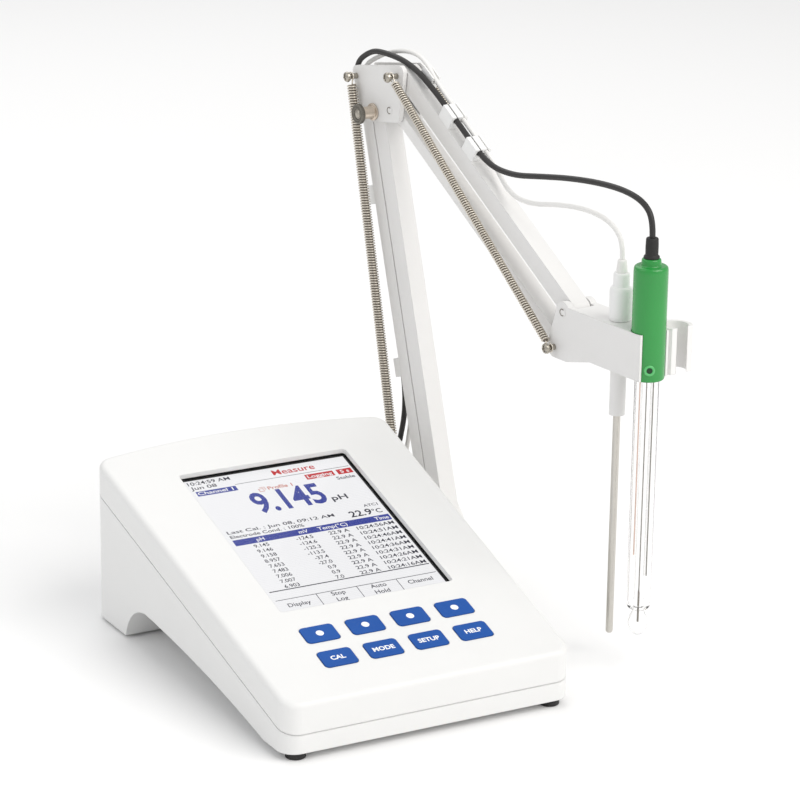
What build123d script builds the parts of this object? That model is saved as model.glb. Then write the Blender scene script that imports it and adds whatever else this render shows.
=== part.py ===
from build123d import *
from math import atan2, cos, degrees, hypot, pi, radians, sin, tan
import os

os.makedirs("parts", exist_ok=True)

# Bench pH meter with a spring-balanced electrode arm, millimetres.
# Working axes: X across the case from its middle, Y from the front edge to the rear, Z up from the table.

# ---- case ----
rear_width = 166.0
front_width = 155.5
case_depth = 217.0
rear_bulge = 7.6          # how far the rear edge bows out at its middle
front_top = 29.2          # height of the top face at the front edge
rear_top = 88.4
underside = 1.5           # clearance of the rear leg
front_lift = 4.0          # clearance of the front lower edge
underside_front = 22.0    # where the underside starts to rise
arch_top = 21.3
arch_y = case_depth - 67.0
arch_radius = 25.0
wall = 2.5
plan_corner = 9.0
top_round = 3.2
seam_front = 13.8
seam_rear = 71.8
seam_groove = 0.6

# ---- display and keys, in the sloping top face ----
window_width = 95.3
window_length = 122.5
window_start = 68.4       # from the front edge, along the slope
window_depth = 2.6
window_corner = 2.0
lens_thickness = 0.8
lens_margin = 3.0
frame_border = 1.2
frame_thickness = 0.5
lcd_thickness = 5.0
key_width = 17.8
key_length = 12.2
key_corner = 2.2
key_proud = 0.5
key_gap = 0.25
key_flange = 1.0
key_travel = 0.8
key_columns = 4
key_column_pitch = 24.6
key_rows = [47.4, 27.8]   # along the slope
key_names = ["soft_key_1", "soft_key_2", "soft_key_3", "soft_key_4",
             "cal_key", "mode_key", "setup_key", "help_key"]
mat_thickness = 1.0
board_thickness = 1.6
main_board_drop = 22.0
main_board_width = 118.0
main_board_length = 105.0

# ---- rear panel ----
panel_width = 128.0
panel_height = 27.0
panel_middle = 50.5
panel_face = case_depth - 11.5
panel_thickness = 2.5
panel_gap = 0.15
panel_rim = 2.5
bnc_x = 46.0
bnc_radius = 4.8
bnc_length = 12.0
temp_x = 26.0
temp_socket_radius = 4.2
reference_x = 8.0
switch_x = -52.0
switch_width = 9.0
switch_height = 13.0
switch_depth = 6.0
switch_gap = 0.6
switch_tilt = 8.0

# ---- feet and screws ----
foot_radius = 5.0
foot_inset = 1.1          # depth of the feet's pockets
screw_radius = 1.5
screw_head = 2.8
screw_hole_gap = 0.05
post_radius = 4.2
screw_shank = 17.5
front_posts = [(-46, 14), (46, 14)]
rear_posts = [(-70, case_depth - 31), (36, case_depth - 21)]
front_foot_places = [(-69, 7), (69, 7)]
rear_foot_places = [(-68, case_depth - 17), (26, case_depth - 17)]

# ---- base plate and its pin ----
arm_x = rear_width / 2 + 26.0      # swivel axis of the arm
arm_y = case_depth - 16.5
plate_thickness = 3.0
plate_lift = 1.0
plate_width = 32.0
plate_inner_x = 44.0
plate_gap = 0.3
plate_pad = 12.0
pin_radius = 4.0
pin_top = 28.0
leg_floor = 8.0

# ---- arm, in its own plane: s forward from the swivel axis, z up ----
arm_turn = 7.5            # how far the arm points away from straight ahead
front_foot_pivot = (16.1, 22.0)
rear_foot_pivot = (0.2, 38.5)
spring_foot = (-12.0, 30.0)
rear_top_pivot = (-61.9, 258.5)
arm_pivot_s = -25.5       # upper bar's pivot on the knuckle
arm_pivot_z = 265.0
under_drop_s = -6.0       # from the upper bar's pivots to the lower bar's
under_drop_z = -19.5
arm_reach = 144.7
arm_fall = -92.2
bar_width = 10.0
rear_bar_depth = 9.0
front_bar_depth = 11.0
top_bar_depth = 10.0
under_bar_depth = 6.4
cheek_gap = 0.4           # between a bar and the plates on each side of it
cheek = 2.5
pivot_radius = 1.5
clamp_radius = 2.5
running_gap = 0.05
open_gap = 0.4            # round the pins of the two pivots that close the linkages
screw_reach = 13.8        # from the arm's middle to the spring screws' heads
spring_radius = 2.4
spring_offset = 11.6
hook_length = 6.0
knob_radius = 5.4
knob_length = 5.0
knob_neck = 3.4
knob_stand = 8.5
base_radius = 17.0
base_disc = 6.0
base_boss = 7.5
knuckle_corners = [(-66.6, 263.3), (-19.2, 271.6), (-23.0, 240.4), (-57.4, 234.6)]
knuckle_round = 3.5
spacer_radius = 3.6
spacer_place = (-43.5, 260.5)

# ---- electrode head ----
head_top = 176.0
head_bottom = 152.5
head_front = 179.3
head_half = 9.0
head_slot_end = 128.0
head_round = 5.4
probe_s = 174.8
clip_gap = 0.3
side_clip_bore = 6.2
side_clip_wall = 2.2
side_clip_offset = 17.7
sleeve_radius = 4.0
sleeve_bottom = 127.4
stem_gap = 0.3

# ---- pH electrode ----
cap_radius = 8.5
cap_bottom = 152.0
cap_top = 209.0
cap_neck = 4.6
cap_neck_top = 212.5
relief_radius = 3.1
relief_top = 222.8
glass_radius = 6.0
glass_wall = 0.9
glass_bottom = 33.0
bulb_radius = 5.2
bulb_middle = 23.4
core_radius = 2.6
core_in_cap = 6.0

# ---- temperature probe ----
temp_s = 153.0
handle_radius = 5.7
handle_top = 193.0
handle_neck = 4.1
handle_neck_top = 200.3
temp_relief_radius = 2.8
temp_relief_top = 206.8
stem_radius = 1.85
stem_bottom = 10.8

# ---- leads ----
ph_lead_radius = 1.5
temp_lead_radius = 1.25
clip_height = 8.0
clip_length = 10.0
clip_slit = 0.8           # the springy opening a lead is pressed in through
lead_height = 5.6         # of a lead's middle over the upper bar
post_clip_height = 5.0
post_lead_height = 2.4    # of a lead's middle behind the rear bar
ph_lane = -2.0            # right of the arm's middle
post_ph_lane = -1.6
temp_lane = 2.4
upper_clip_places = [41.0, 65.0]
lower_clip_places = [64.0, 158.0]
fork_place = 12.0         # of the open fork that holds the thinner lead alone
plug_radius = 7.0
plug_length = 24.0
plug_relief = 9.0


# ================= frames =================
turn = radians(arm_turn)
forward = Vector(sin(turn), -cos(turn), 0)
right = Vector(cos(turn), sin(turn), 0)
arm_plane = Plane(origin=(arm_x, arm_y, 0), x_dir=forward, z_dir=-right)
slope = atan2(rear_top - front_top, case_depth)
top_plane = Plane(origin=(0, 0, front_top), x_dir=(1, 0, 0), z_dir=(0, -sin(slope), cos(slope)))
seam_slope = atan2(seam_rear - seam_front, case_depth)
seam_plane = Plane(origin=(0, 0, seam_front), x_dir=(1, 0, 0),
                   z_dir=(0, -sin(seam_slope), cos(seam_slope)))

front_top_pivot = (rear_top_pivot[0] + front_foot_pivot[0] - rear_foot_pivot[0],
                   rear_top_pivot[1] + front_foot_pivot[1] - rear_foot_pivot[1])
upper_pivot = (arm_pivot_s, arm_pivot_z)
under_pivot = (arm_pivot_s + under_drop_s, arm_pivot_z + under_drop_z)
upper_tip = (arm_pivot_s + arm_reach, arm_pivot_z + arm_fall)
under_tip = (under_pivot[0] + arm_reach, under_pivot[1] + arm_fall)
cheek_inner = bar_width / 2 + cheek_gap
cheek_outer = cheek_inner + cheek
key_places = [(column, row) for row in key_rows for column in
              [(i - (key_columns - 1) / 2) * key_column_pitch for i in range(key_columns)]]
window_middle = window_start + window_length / 2
nodes = {}


def finish(name, part):
    """Keep a finished piece under its node name."""
    part.label = name
    nodes[name] = part


def arm_point(s, w, z):
    """Place in the working axes of a point s forward, w to the right and z up in the arm's frame."""
    return Vector(arm_x, arm_y, z) + forward * s + right * w


# ================= case =================
def case_volume(inset):
    """Outer form of the case, drawn in by an inset on every side."""
    arch_middle = arch_top - arch_radius
    leg_front = arch_y + (arch_radius ** 2 - (underside - arch_middle) ** 2) ** 0.5
    arch_mid_turn = radians(45)
    with BuildPart() as volume:
        with BuildSketch(Plane.YZ):
            with BuildLine():
                Line((0, front_lift), (underside_front, front_lift))
                middle = ((underside_front + arch_y) / 2,
                          (front_lift + arch_top) / 2 + (arch_top - front_lift) * 0.14)
                ThreePointArc((underside_front, front_lift), middle, (arch_y, arch_top))
                ThreePointArc((arch_y, arch_top),
                              (arch_y + arch_radius * sin(arch_mid_turn),
                               arch_middle + arch_radius * cos(arch_mid_turn)),
                              (leg_front, underside))
                Polyline((leg_front, underside), (case_depth, underside), (case_depth, rear_top),
                         (0, front_top), (0, front_lift))
            make_face()
            if inset:
                offset(amount=-inset, kind=Kind.INTERSECTION)
        extrude(amount=rear_width, both=True)
        with BuildSketch(Plane.XY):
            with BuildLine():
                side_rear = case_depth - rear_bulge
                Polyline((-rear_width / 2, side_rear), (-front_width / 2, 0), (front_width / 2, 0),
                         (rear_width / 2, side_rear))
                ThreePointArc((rear_width / 2, side_rear), (0, case_depth), (-rear_width / 2, side_rear))
            make_face()
            fillet(vertices(), plan_corner)
            if inset:
                offset(amount=-inset, kind=Kind.INTERSECTION)
        extrude(amount=2 * rear_top, mode=Mode.INTERSECT)
        if not inset:
            fillet(faces().sort_by(Axis(top_plane.origin, top_plane.z_dir))[-1].edges(), top_round)
    return volume.part


outer_case = case_volume(0)
inner_case = case_volume(wall)
groove_core = case_volume(seam_groove)

with BuildPart() as post_volume:
    with BuildSketch(Plane.XY):
        with Locations(*(front_posts + rear_posts)):
            Circle(post_radius)
    extrude(amount=rear_top)
    with BuildSketch(Plane.XY):
        with Locations(((plate_inner_x + rear_width / 2) / 2 - 3, case_depth - 2 * wall - 16)):
            Rectangle(rear_width / 2 - plate_inner_x + 6, 2 * 20)
    extrude(amount=leg_floor)
    with BuildSketch(Plane.XZ.offset(-case_depth)):
        with Locations((0, panel_middle)):
            Rectangle(panel_width + 2 * panel_rim, panel_height + 2 * panel_rim)
    extrude(amount=case_depth - panel_face + panel_thickness + panel_rim)
    add(outer_case, mode=Mode.INTERSECT)

with BuildPart() as case_cuts:
    with BuildSketch(Plane.XZ.offset(-case_depth)):
        with Locations((0, panel_middle)):
            Rectangle(panel_width, panel_height)
    extrude(amount=case_depth - panel_face + panel_thickness)
    with BuildSketch(Plane.XZ.offset(-case_depth)):
        with Locations((0, panel_middle)):
            Rectangle(panel_width - 2 * panel_rim, panel_height - 2 * panel_rim)
    extrude(amount=case_depth - panel_face + panel_thickness + panel_rim)
    for low, posts, feet in ((front_lift, front_posts, front_foot_places),
                             (underside, rear_posts, rear_foot_places)):
        with BuildSketch(Plane.XY):
            with Locations(*posts):
                Circle(screw_radius + screw_hole_gap)
        extrude(amount=low + screw_shank + 1)
        with BuildSketch(Plane.XY):
            with Locations(*posts):
                Circle(screw_head + screw_hole_gap)
        extrude(amount=low + wall / 2)
        with BuildSketch(Plane.XY):
            with Locations(*feet):
                Circle(foot_radius)
        extrude(amount=low + foot_inset)
    with BuildSketch(Plane.XY):
        with Locations(((plate_inner_x - plate_gap + rear_width) / 2, arm_y)):
            Rectangle(rear_width - plate_inner_x + plate_gap, plate_width + 2 * plate_gap)
    extrude(amount=plate_lift + plate_thickness + plate_gap)

with BuildPart() as case_shell:
    add(outer_case)
    add(inner_case, mode=Mode.SUBTRACT)
    add(post_volume.part)
    add(case_cuts.part, mode=Mode.SUBTRACT)

with BuildPart() as top_case:
    add(case_shell.part)
    split(bisect_by=seam_plane, keep=Keep.TOP)
    with BuildSketch(top_plane.offset(-window_depth)):
        with Locations((0, window_middle)):
            RectangleRounded(window_width + 2 * wall, window_length + 2 * wall, window_corner + wall)
    extrude(amount=window_depth - wall / 2)
    with BuildSketch(top_plane.offset(-window_depth)):
        with Locations((0, window_middle)):
            RectangleRounded(window_width, window_length, window_corner)
    extrude(amount=2 * window_depth, mode=Mode.SUBTRACT)
    with BuildSketch(top_plane.offset(-2 * wall)):
        with Locations(*key_places):
            RectangleRounded(key_width + 2 * key_gap, key_length + 2 * key_gap, key_corner + key_gap)
    extrude(amount=4 * wall, mode=Mode.SUBTRACT)
finish("top_case", top_case.part)

with BuildPart() as seam_band:
    add(outer_case)
    add(groove_core, mode=Mode.SUBTRACT)
    split(bisect_by=seam_plane, keep=Keep.BOTTOM)
    split(bisect_by=seam_plane.offset(-seam_groove), keep=Keep.TOP)

with BuildPart() as bottom_case:
    add(case_shell.part)
    split(bisect_by=seam_plane, keep=Keep.BOTTOM)
    add(seam_band.part, mode=Mode.SUBTRACT)
    with BuildSketch(Plane.XY.offset(plate_lift + plate_thickness)):
        with Locations((plate_inner_x + 8, arm_y - 9), (plate_inner_x + 8, arm_y + 9)):
            Circle(screw_radius + screw_hole_gap)
    extrude(amount=3, mode=Mode.SUBTRACT)
finish("bottom_case", bottom_case.part)

# ================= display =================
lens_top = -window_depth
frame_top = lens_top - lens_thickness
lcd_top = frame_top - frame_thickness
with BuildPart() as display_window:
    with BuildSketch(top_plane.offset(lens_top)):
        with Locations((0, window_middle)):
            RectangleRounded(window_width + 2 * lens_margin, window_length + 2 * lens_margin, window_corner)
    extrude(amount=-lens_thickness)
finish("display_window", display_window.part)

with BuildPart() as lcd_frame:
    with BuildSketch(top_plane.offset(frame_top)):
        with Locations((0, window_middle)):
            Rectangle(window_width + 2 * lens_margin, window_length + 2 * lens_margin)
            Rectangle(window_width - 2 * frame_border, window_length - 2 * frame_border,
                      mode=Mode.SUBTRACT)
    extrude(amount=-frame_thickness)
finish("lcd_frame", lcd_frame.part)

with BuildPart() as lcd_module:
    with BuildSketch(top_plane.offset(lcd_top)):
        with Locations((0, window_middle)):
            Rectangle(window_width + 2 * lens_margin, window_length + 2 * lens_margin)
    extrude(amount=-lcd_thickness)
finish("lcd_module", lcd_module.part)

# ================= keys =================
flange_top = -wall - 0.2
flange_bottom = flange_top - key_flange
dome_top = flange_bottom - key_travel - 0.1
dome_height = 1.0
mat_top = dome_top - dome_height
board_top = mat_top - mat_thickness
pad_middle = (key_rows[0] + key_rows[1]) / 2
pad_length = key_rows[0] - key_rows[1] + key_length + 4
pad_width = (key_columns - 1) * key_column_pitch + key_width + 6
for key_name, place in zip(key_names, key_places):
    with BuildPart() as key:
        with BuildSketch(top_plane.offset(flange_bottom)):
            with Locations(place):
                RectangleRounded(key_width + 2 * key_flange, key_length + 2 * key_flange, key_corner)
        extrude(amount=key_flange)
        with BuildSketch(top_plane.offset(flange_top)):
            with Locations(place):
                RectangleRounded(key_width, key_length, key_corner)
        extrude(amount=key_proud - flange_top)
        cap_face = faces().sort_by(Axis(top_plane.origin, top_plane.z_dir))[-1]
        fillet(cap_face.edges(), key_proud * 0.6)
    finish(key_name, key.part)

with BuildPart() as key_mat:
    with BuildSketch(top_plane.offset(board_top)):
        with Locations((0, pad_middle)):
            Rectangle(pad_width, pad_length)
    extrude(amount=mat_thickness)
    with BuildSketch(top_plane.offset(mat_top)):
        with Locations(*key_places):
            Circle(3.2)
    extrude(amount=dome_height, taper=18)
finish("key_mat", key_mat.part)

with BuildPart() as key_board:
    with BuildSketch(top_plane.offset(board_top)):
        with Locations((0, pad_middle)):
            Rectangle(pad_width, pad_length)
    extrude(amount=-board_thickness)
finish("key_board", key_board.part)

with BuildPart() as main_board:
    with BuildSketch(top_plane.offset(-main_board_drop)):
        with Locations((0, window_middle)):
            Rectangle(main_board_width, main_board_length)
    extrude(amount=board_thickness)
    with BuildSketch(top_plane.offset(board_thickness - main_board_drop)):
        with Locations((-20, window_middle - 20)):
            Rectangle(16, 16)
        with Locations((24, window_middle - 14), (30, window_middle + 18)):
            Rectangle(9, 13)
    extrude(amount=2)
    with BuildSketch(top_plane.offset(board_thickness - main_board_drop)):
        with Locations((-30, window_middle + 28)):
            Circle(10)
    extrude(amount=3.4)
finish("main_board", main_board.part)

# ================= rear panel =================
panel_plane = Plane(origin=(0, panel_face, panel_middle), x_dir=(1, 0, 0), z_dir=(0, -1, 0))
ports = [(-30, 0, 10, 9), (-13, 0, 13, 6.5)]
with BuildPart() as rear_panel:
    with BuildSketch(panel_plane):
        Rectangle(panel_width - 2 * panel_gap, panel_height - 2 * panel_gap)
        with Locations((bnc_x, 0)):
            Circle(bnc_radius, mode=Mode.SUBTRACT)
        with Locations((temp_x, 0)):
            Circle(temp_socket_radius, mode=Mode.SUBTRACT)
        with Locations((reference_x, 0)):
            Circle(2.6, mode=Mode.SUBTRACT)
        with Locations((switch_x, 0)):
            Rectangle(switch_width + 2 * switch_gap, switch_height + 2 * switch_gap, mode=Mode.SUBTRACT)
        for port_x, port_z, port_width, port_height in ports:
            with Locations((port_x, port_z)):
                Rectangle(port_width, port_height, mode=Mode.SUBTRACT)
    extrude(amount=panel_thickness)
finish("rear_panel", rear_panel.part)

with BuildPart() as sensor_sockets:
    with BuildSketch(panel_plane.offset(-bnc_length)):
        with Locations((bnc_x, 0)):
            Circle(bnc_radius)
            Circle(bnc_radius - 1.2, mode=Mode.SUBTRACT)
    extrude(amount=bnc_length)
    with BuildSketch(panel_plane):
        with Locations((bnc_x, 0)):
            Circle(bnc_radius)
        with Locations((temp_x, 0)):
            Circle(temp_socket_radius)
        with Locations((reference_x, 0)):
            Circle(2.6)
    extrude(amount=8)
    with BuildSketch(panel_plane):
        with Locations((bnc_x, 0)):
            RegularPolygon(8.2, 6)
            Circle(bnc_radius - 0.2, mode=Mode.SUBTRACT)
        with Locations((temp_x, 0)):
            Circle(6)
        with Locations((reference_x, 0)):
            Circle(4)
            Circle(1.6, mode=Mode.SUBTRACT)
    extrude(amount=-1.6)
finish("sensor_sockets", sensor_sockets.part)

with BuildPart() as data_ports:
    for port_x, port_z, port_width, port_height in ports:
        with BuildSketch(panel_plane.offset(-0.8)):
            with Locations((port_x, port_z)):
                Rectangle(port_width - 0.2, port_height - 0.2)
        extrude(amount=12)
        with BuildSketch(panel_plane.offset(-0.8)):
            with Locations((port_x, port_z)):
                Rectangle(port_width - 2, port_height - 2)
        extrude(amount=9, mode=Mode.SUBTRACT)
finish("data_ports", data_ports.part)

with BuildPart() as power_switch:
    tilted = Plane(origin=(switch_x, panel_face, panel_middle), x_dir=(1, 0, 0),
                   z_dir=(0, -cos(radians(switch_tilt)), sin(radians(switch_tilt))))
    with BuildSketch(tilted.offset(-switch_depth / 2)):
        Rectangle(switch_width, switch_height)
    extrude(amount=switch_depth)
    fillet(edges().filter_by(Axis.X), 0.8)
finish("power_switch", power_switch.part)

# ================= feet and screws =================
with BuildPart() as rubber_feet:
    for low, feet in ((front_lift, front_foot_places), (underside, rear_foot_places)):
        with BuildSketch(Plane.XY):
            with Locations(*feet):
                Circle(foot_radius)
        extrude(amount=low + foot_inset)
    fillet(faces().filter_by(Axis.Z).sort_by(Axis.Z)[:4].edges(), 0.6)
    with BuildSketch(Plane.XY):
        with Locations((arm_x, arm_y)):
            Circle(plate_pad)
    extrude(amount=plate_lift)
finish("rubber_feet", rubber_feet.part)

with BuildPart() as case_screws:
    for low, posts in ((front_lift, front_posts), (underside, rear_posts)):
        with BuildSketch(Plane.XY.offset(low)):
            with Locations(*posts):
                Circle(screw_radius)
        extrude(amount=screw_shank)
        with BuildSketch(Plane.XY.offset(low)):
            with Locations(*posts):
                Circle(screw_head)
        extrude(amount=wall / 2 - 0.1)
    with BuildSketch(Plane.XY.offset(plate_lift)):
        with Locations((plate_inner_x + 8, arm_y - 9), (plate_inner_x + 8, arm_y + 9)):
            Circle(screw_radius)
    extrude(amount=5.5)
finish("case_screws", case_screws.part)

with BuildPart() as base_plate:
    with BuildSketch(Plane.XY.offset(plate_lift)):
        with Locations((arm_x, arm_y)):
            Circle(plate_width / 2)
        with Locations(((plate_inner_x + arm_x) / 2, arm_y)):
            Rectangle(arm_x - plate_inner_x, plate_width)
        with Locations((plate_inner_x + 8, arm_y - 9), (plate_inner_x + 8, arm_y + 9)):
            Circle(screw_radius + screw_hole_gap, mode=Mode.SUBTRACT)
    extrude(amount=plate_thickness)
    with BuildSketch(Plane.XY.offset(plate_lift)):
        with Locations((arm_x, arm_y)):
            Circle(pin_radius)
    extrude(amount=pin_top - plate_lift)
    chamfer(faces().sort_by(Axis.Z)[-1].edges(), 0.8)
finish("base_plate", base_plate.part)


# ================= arm =================
def bar(start, end, depth, start_hole, end_hole):
    """A round-ended bar between two pivots, bored at both."""
    length = hypot(end[0] - start[0], end[1] - start[1])
    angle = degrees(atan2(end[1] - start[1], end[0] - start[0]))
    middle = ((start[0] + end[0]) / 2, (start[1] + end[1]) / 2)
    with BuildPart() as made:
        with BuildSketch(arm_plane):
            with Locations(middle):
                SlotCenterToCenter(length, depth, rotation=angle)
            with Locations(start):
                Circle(start_hole, mode=Mode.SUBTRACT)
            with Locations(end):
                Circle(end_hole, mode=Mode.SUBTRACT)
        extrude(amount=bar_width / 2, both=True)
    return made.part


def cross_pins(places, radius, reach, head_radius, head_length):
    """Pins across the arm at the given pivots, with a head on each end."""
    with BuildPart() as made:
        with BuildSketch(arm_plane):
            with Locations(*places):
                Circle(radius)
        extrude(amount=reach, both=True)
        for side in (1, -1):
            with BuildSketch(arm_plane.offset(side * reach)):
                with Locations(*places):
                    Circle(head_radius)
            extrude(amount=side * head_length)
    return made.part


def spring_pair(start, end, trim):
    """Envelope of the springs on both sides of the arm."""
    length = hypot(end[0] - start[0], end[1] - start[1])
    away = ((end[0] - start[0]) / length, (end[1] - start[1]) / length)
    direction = forward * away[0] + Vector(0, 0, 1) * away[1]
    with BuildPart() as made:
        for side in (1, -1):
            first = arm_point(start[0] + away[0] * trim, side * spring_offset, start[1] + away[1] * trim)
            with BuildSketch(Plane(origin=first, z_dir=direction)):
                Circle(spring_radius)
            extrude(amount=length - 2 * trim)
    return made.part


pivot_hole = pivot_radius + running_gap
finish("rear_bar", bar(rear_foot_pivot, rear_top_pivot, rear_bar_depth, pivot_hole, pivot_hole))
finish("front_bar", bar(front_foot_pivot, front_top_pivot, front_bar_depth, pivot_hole,
                        clamp_radius + open_gap))
finish("top_bar", bar(upper_pivot, upper_tip, top_bar_depth, pivot_hole, pivot_hole))
finish("under_bar", bar(under_pivot, under_tip, under_bar_depth, pivot_hole, pivot_radius + open_gap))

base_floor = plate_lift + plate_thickness + 0.1
base_outline = [(-19, base_floor), (23, base_floor), (23, 25), (7, 45), (-6, 45), (-20, 34)]
with BuildPart() as arm_base:
    with BuildSketch(Plane.XY.offset(base_floor)):
        with Locations((arm_x, arm_y)):
            Circle(base_radius)
    extrude(amount=base_disc)
    with BuildSketch(Plane.XY.offset(base_floor)):
        with Locations((arm_x, arm_y)):
            Circle(base_boss)
    extrude(amount=pin_top + 2.5 - base_floor)
    for side in (1, -1):
        with BuildSketch(arm_plane.offset(side * cheek_inner)):
            Polygon(*base_outline, align=None)
            fillet(vertices().sort_by(Axis.Z)[2:], 5)
        extrude(amount=side * cheek)
    with BuildSketch(arm_plane):
        with Locations(front_foot_pivot, rear_foot_pivot, spring_foot):
            Circle(pivot_hole)
    extrude(amount=3 * cheek_outer, both=True, mode=Mode.SUBTRACT)
    with BuildSketch(Plane.XY):
        with Locations((arm_x, arm_y)):
            Circle(pin_radius + running_gap)
    extrude(amount=pin_top + 0.5, mode=Mode.SUBTRACT)
finish("arm_base", arm_base.part)

with BuildPart() as base_pins:
    add(cross_pins([front_foot_pivot, rear_foot_pivot], pivot_radius, cheek_outer + 0.1, 2.6, 1.2))
    add(cross_pins([spring_foot], pivot_radius, screw_reach, 2.8, 1.6))
finish("base_pins", base_pins.part)

with BuildPart() as knuckle:
    for side in (1, -1):
        with BuildSketch(arm_plane.offset(side * cheek_inner)):
            Polygon(*knuckle_corners, align=None)
            fillet(vertices(), knuckle_round)
        extrude(amount=side * cheek)
    with BuildSketch(arm_plane):
        with Locations(spacer_place):
            Circle(spacer_radius)
    extrude(amount=cheek_outer, both=True)
    with BuildSketch(arm_plane):
        with Locations(rear_top_pivot, upper_pivot, under_pivot):
            Circle(pivot_hole)
        with Locations(front_top_pivot):
            Circle(clamp_radius + running_gap)
    extrude(amount=3 * cheek_outer, both=True, mode=Mode.SUBTRACT)
finish("knuckle", knuckle.part)

bolt_reach = cheek_outer + knob_stand + knob_length + 0.6
with BuildPart() as knuckle_screws:
    add(cross_pins([rear_top_pivot, upper_pivot], pivot_radius, screw_reach, 2.8, 1.8))
    add(cross_pins([under_pivot], pivot_radius, cheek_outer, 2.2, 0.4))
    add(cross_pins([front_top_pivot], clamp_radius, bolt_reach, clamp_radius - 0.4, 0.6))
finish("knuckle_screws", knuckle_screws.part)

for knob_name, side in (("knob_left", 1), ("knob_right", -1)):
    with BuildPart() as knob:
        with BuildSketch(arm_plane.offset(side * (cheek_outer + 0.2))):
            with Locations(front_top_pivot):
                Circle(knob_neck + 1.2)
        extrude(amount=side * 1.0)
        with BuildSketch(arm_plane.offset(side * (cheek_outer + 0.2))):
            with Locations(front_top_pivot):
                Circle(knob_neck)
        extrude(amount=side * knob_stand)
        with BuildSketch(arm_plane.offset(side * (cheek_outer + knob_stand))):
            with Locations(front_top_pivot):
                Circle(knob_radius)
        extrude(amount=side * knob_length)
        with BuildSketch(arm_plane):
            with Locations(front_top_pivot):
                Circle(clamp_radius + running_gap)
        extrude(amount=side * 2 * bolt_reach, mode=Mode.SUBTRACT)
    finish(knob_name, knob.part)

finish("lower_springs", spring_pair(rear_top_pivot, spring_foot, hook_length))
finish("upper_springs", spring_pair(upper_pivot, under_tip, hook_length))


def cable_clips(start, end, depth, side, places, height, middle, ph_side):
    """Snap clips on one face of a bar, each with a lane for both leads."""
    length = hypot(end[0] - start[0], end[1] - start[1])
    along = ((end[0] - start[0]) / length, (end[1] - start[1]) / length)
    away = (-along[1] * side, along[0] * side)
    direction = forward * along[0] + Vector(0, 0, 1) * along[1]
    outward = forward * away[0] + Vector(0, 0, 1) * away[1]
    with BuildPart() as made:
        for place in places:
            foot = arm_point(start[0] + along[0] * place + away[0] * depth / 2, 0,
                             start[1] + along[1] * place + away[1] * depth / 2)
            section = Plane(origin=foot - direction * clip_length / 2, x_dir=outward, z_dir=direction)
            across = section.y_dir.dot(right)
            with BuildSketch(section):
                with Locations((height / 2, 0)):
                    Rectangle(height, bar_width)
                fillet(vertices().sort_by(Axis(section.origin, section.x_dir))[-2:], 1.6)
                for lane, lead_radius in ((ph_side, ph_lead_radius), (temp_lane, temp_lead_radius)):
                    with Locations((middle, lane * across)):
                        Circle(lead_radius + 0.3, mode=Mode.SUBTRACT)
                    with Locations((middle + height / 2, lane * across)):
                        Rectangle(height, clip_slit, mode=Mode.SUBTRACT)
            extrude(amount=clip_length)
    return made.part


with BuildPart() as upper_clips:
    add(cable_clips(upper_pivot, upper_tip, top_bar_depth, 1, upper_clip_places,
                    clip_height, lead_height, ph_lane))
    bar_turn = degrees(atan2(arm_fall, arm_reach))
    along_bar = Location((upper_pivot[0], upper_pivot[1], 0), (0, 0, bar_turn))
    with BuildSketch(arm_plane.offset(-temp_lane) * along_bar):
        with Locations((fork_place, (top_bar_depth + clip_height) / 2)):
            Rectangle(clip_length, clip_height)
    extrude(amount=temp_lead_radius + 1.2, both=True)
    with BuildSketch(arm_plane.offset(-temp_lane) * along_bar):
        with Locations((fork_place, top_bar_depth / 2 + lead_height + clip_height / 2 - 1.6)):
            Rectangle(2 * clip_length, clip_height)
    extrude(amount=temp_lead_radius + 0.3, both=True, mode=Mode.SUBTRACT)
finish("upper_clips", upper_clips.part)
finish("lower_clips", cable_clips(rear_top_pivot, rear_foot_pivot, rear_bar_depth, -1, lower_clip_places,
                                  post_clip_height, post_lead_height, post_ph_lane))

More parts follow.
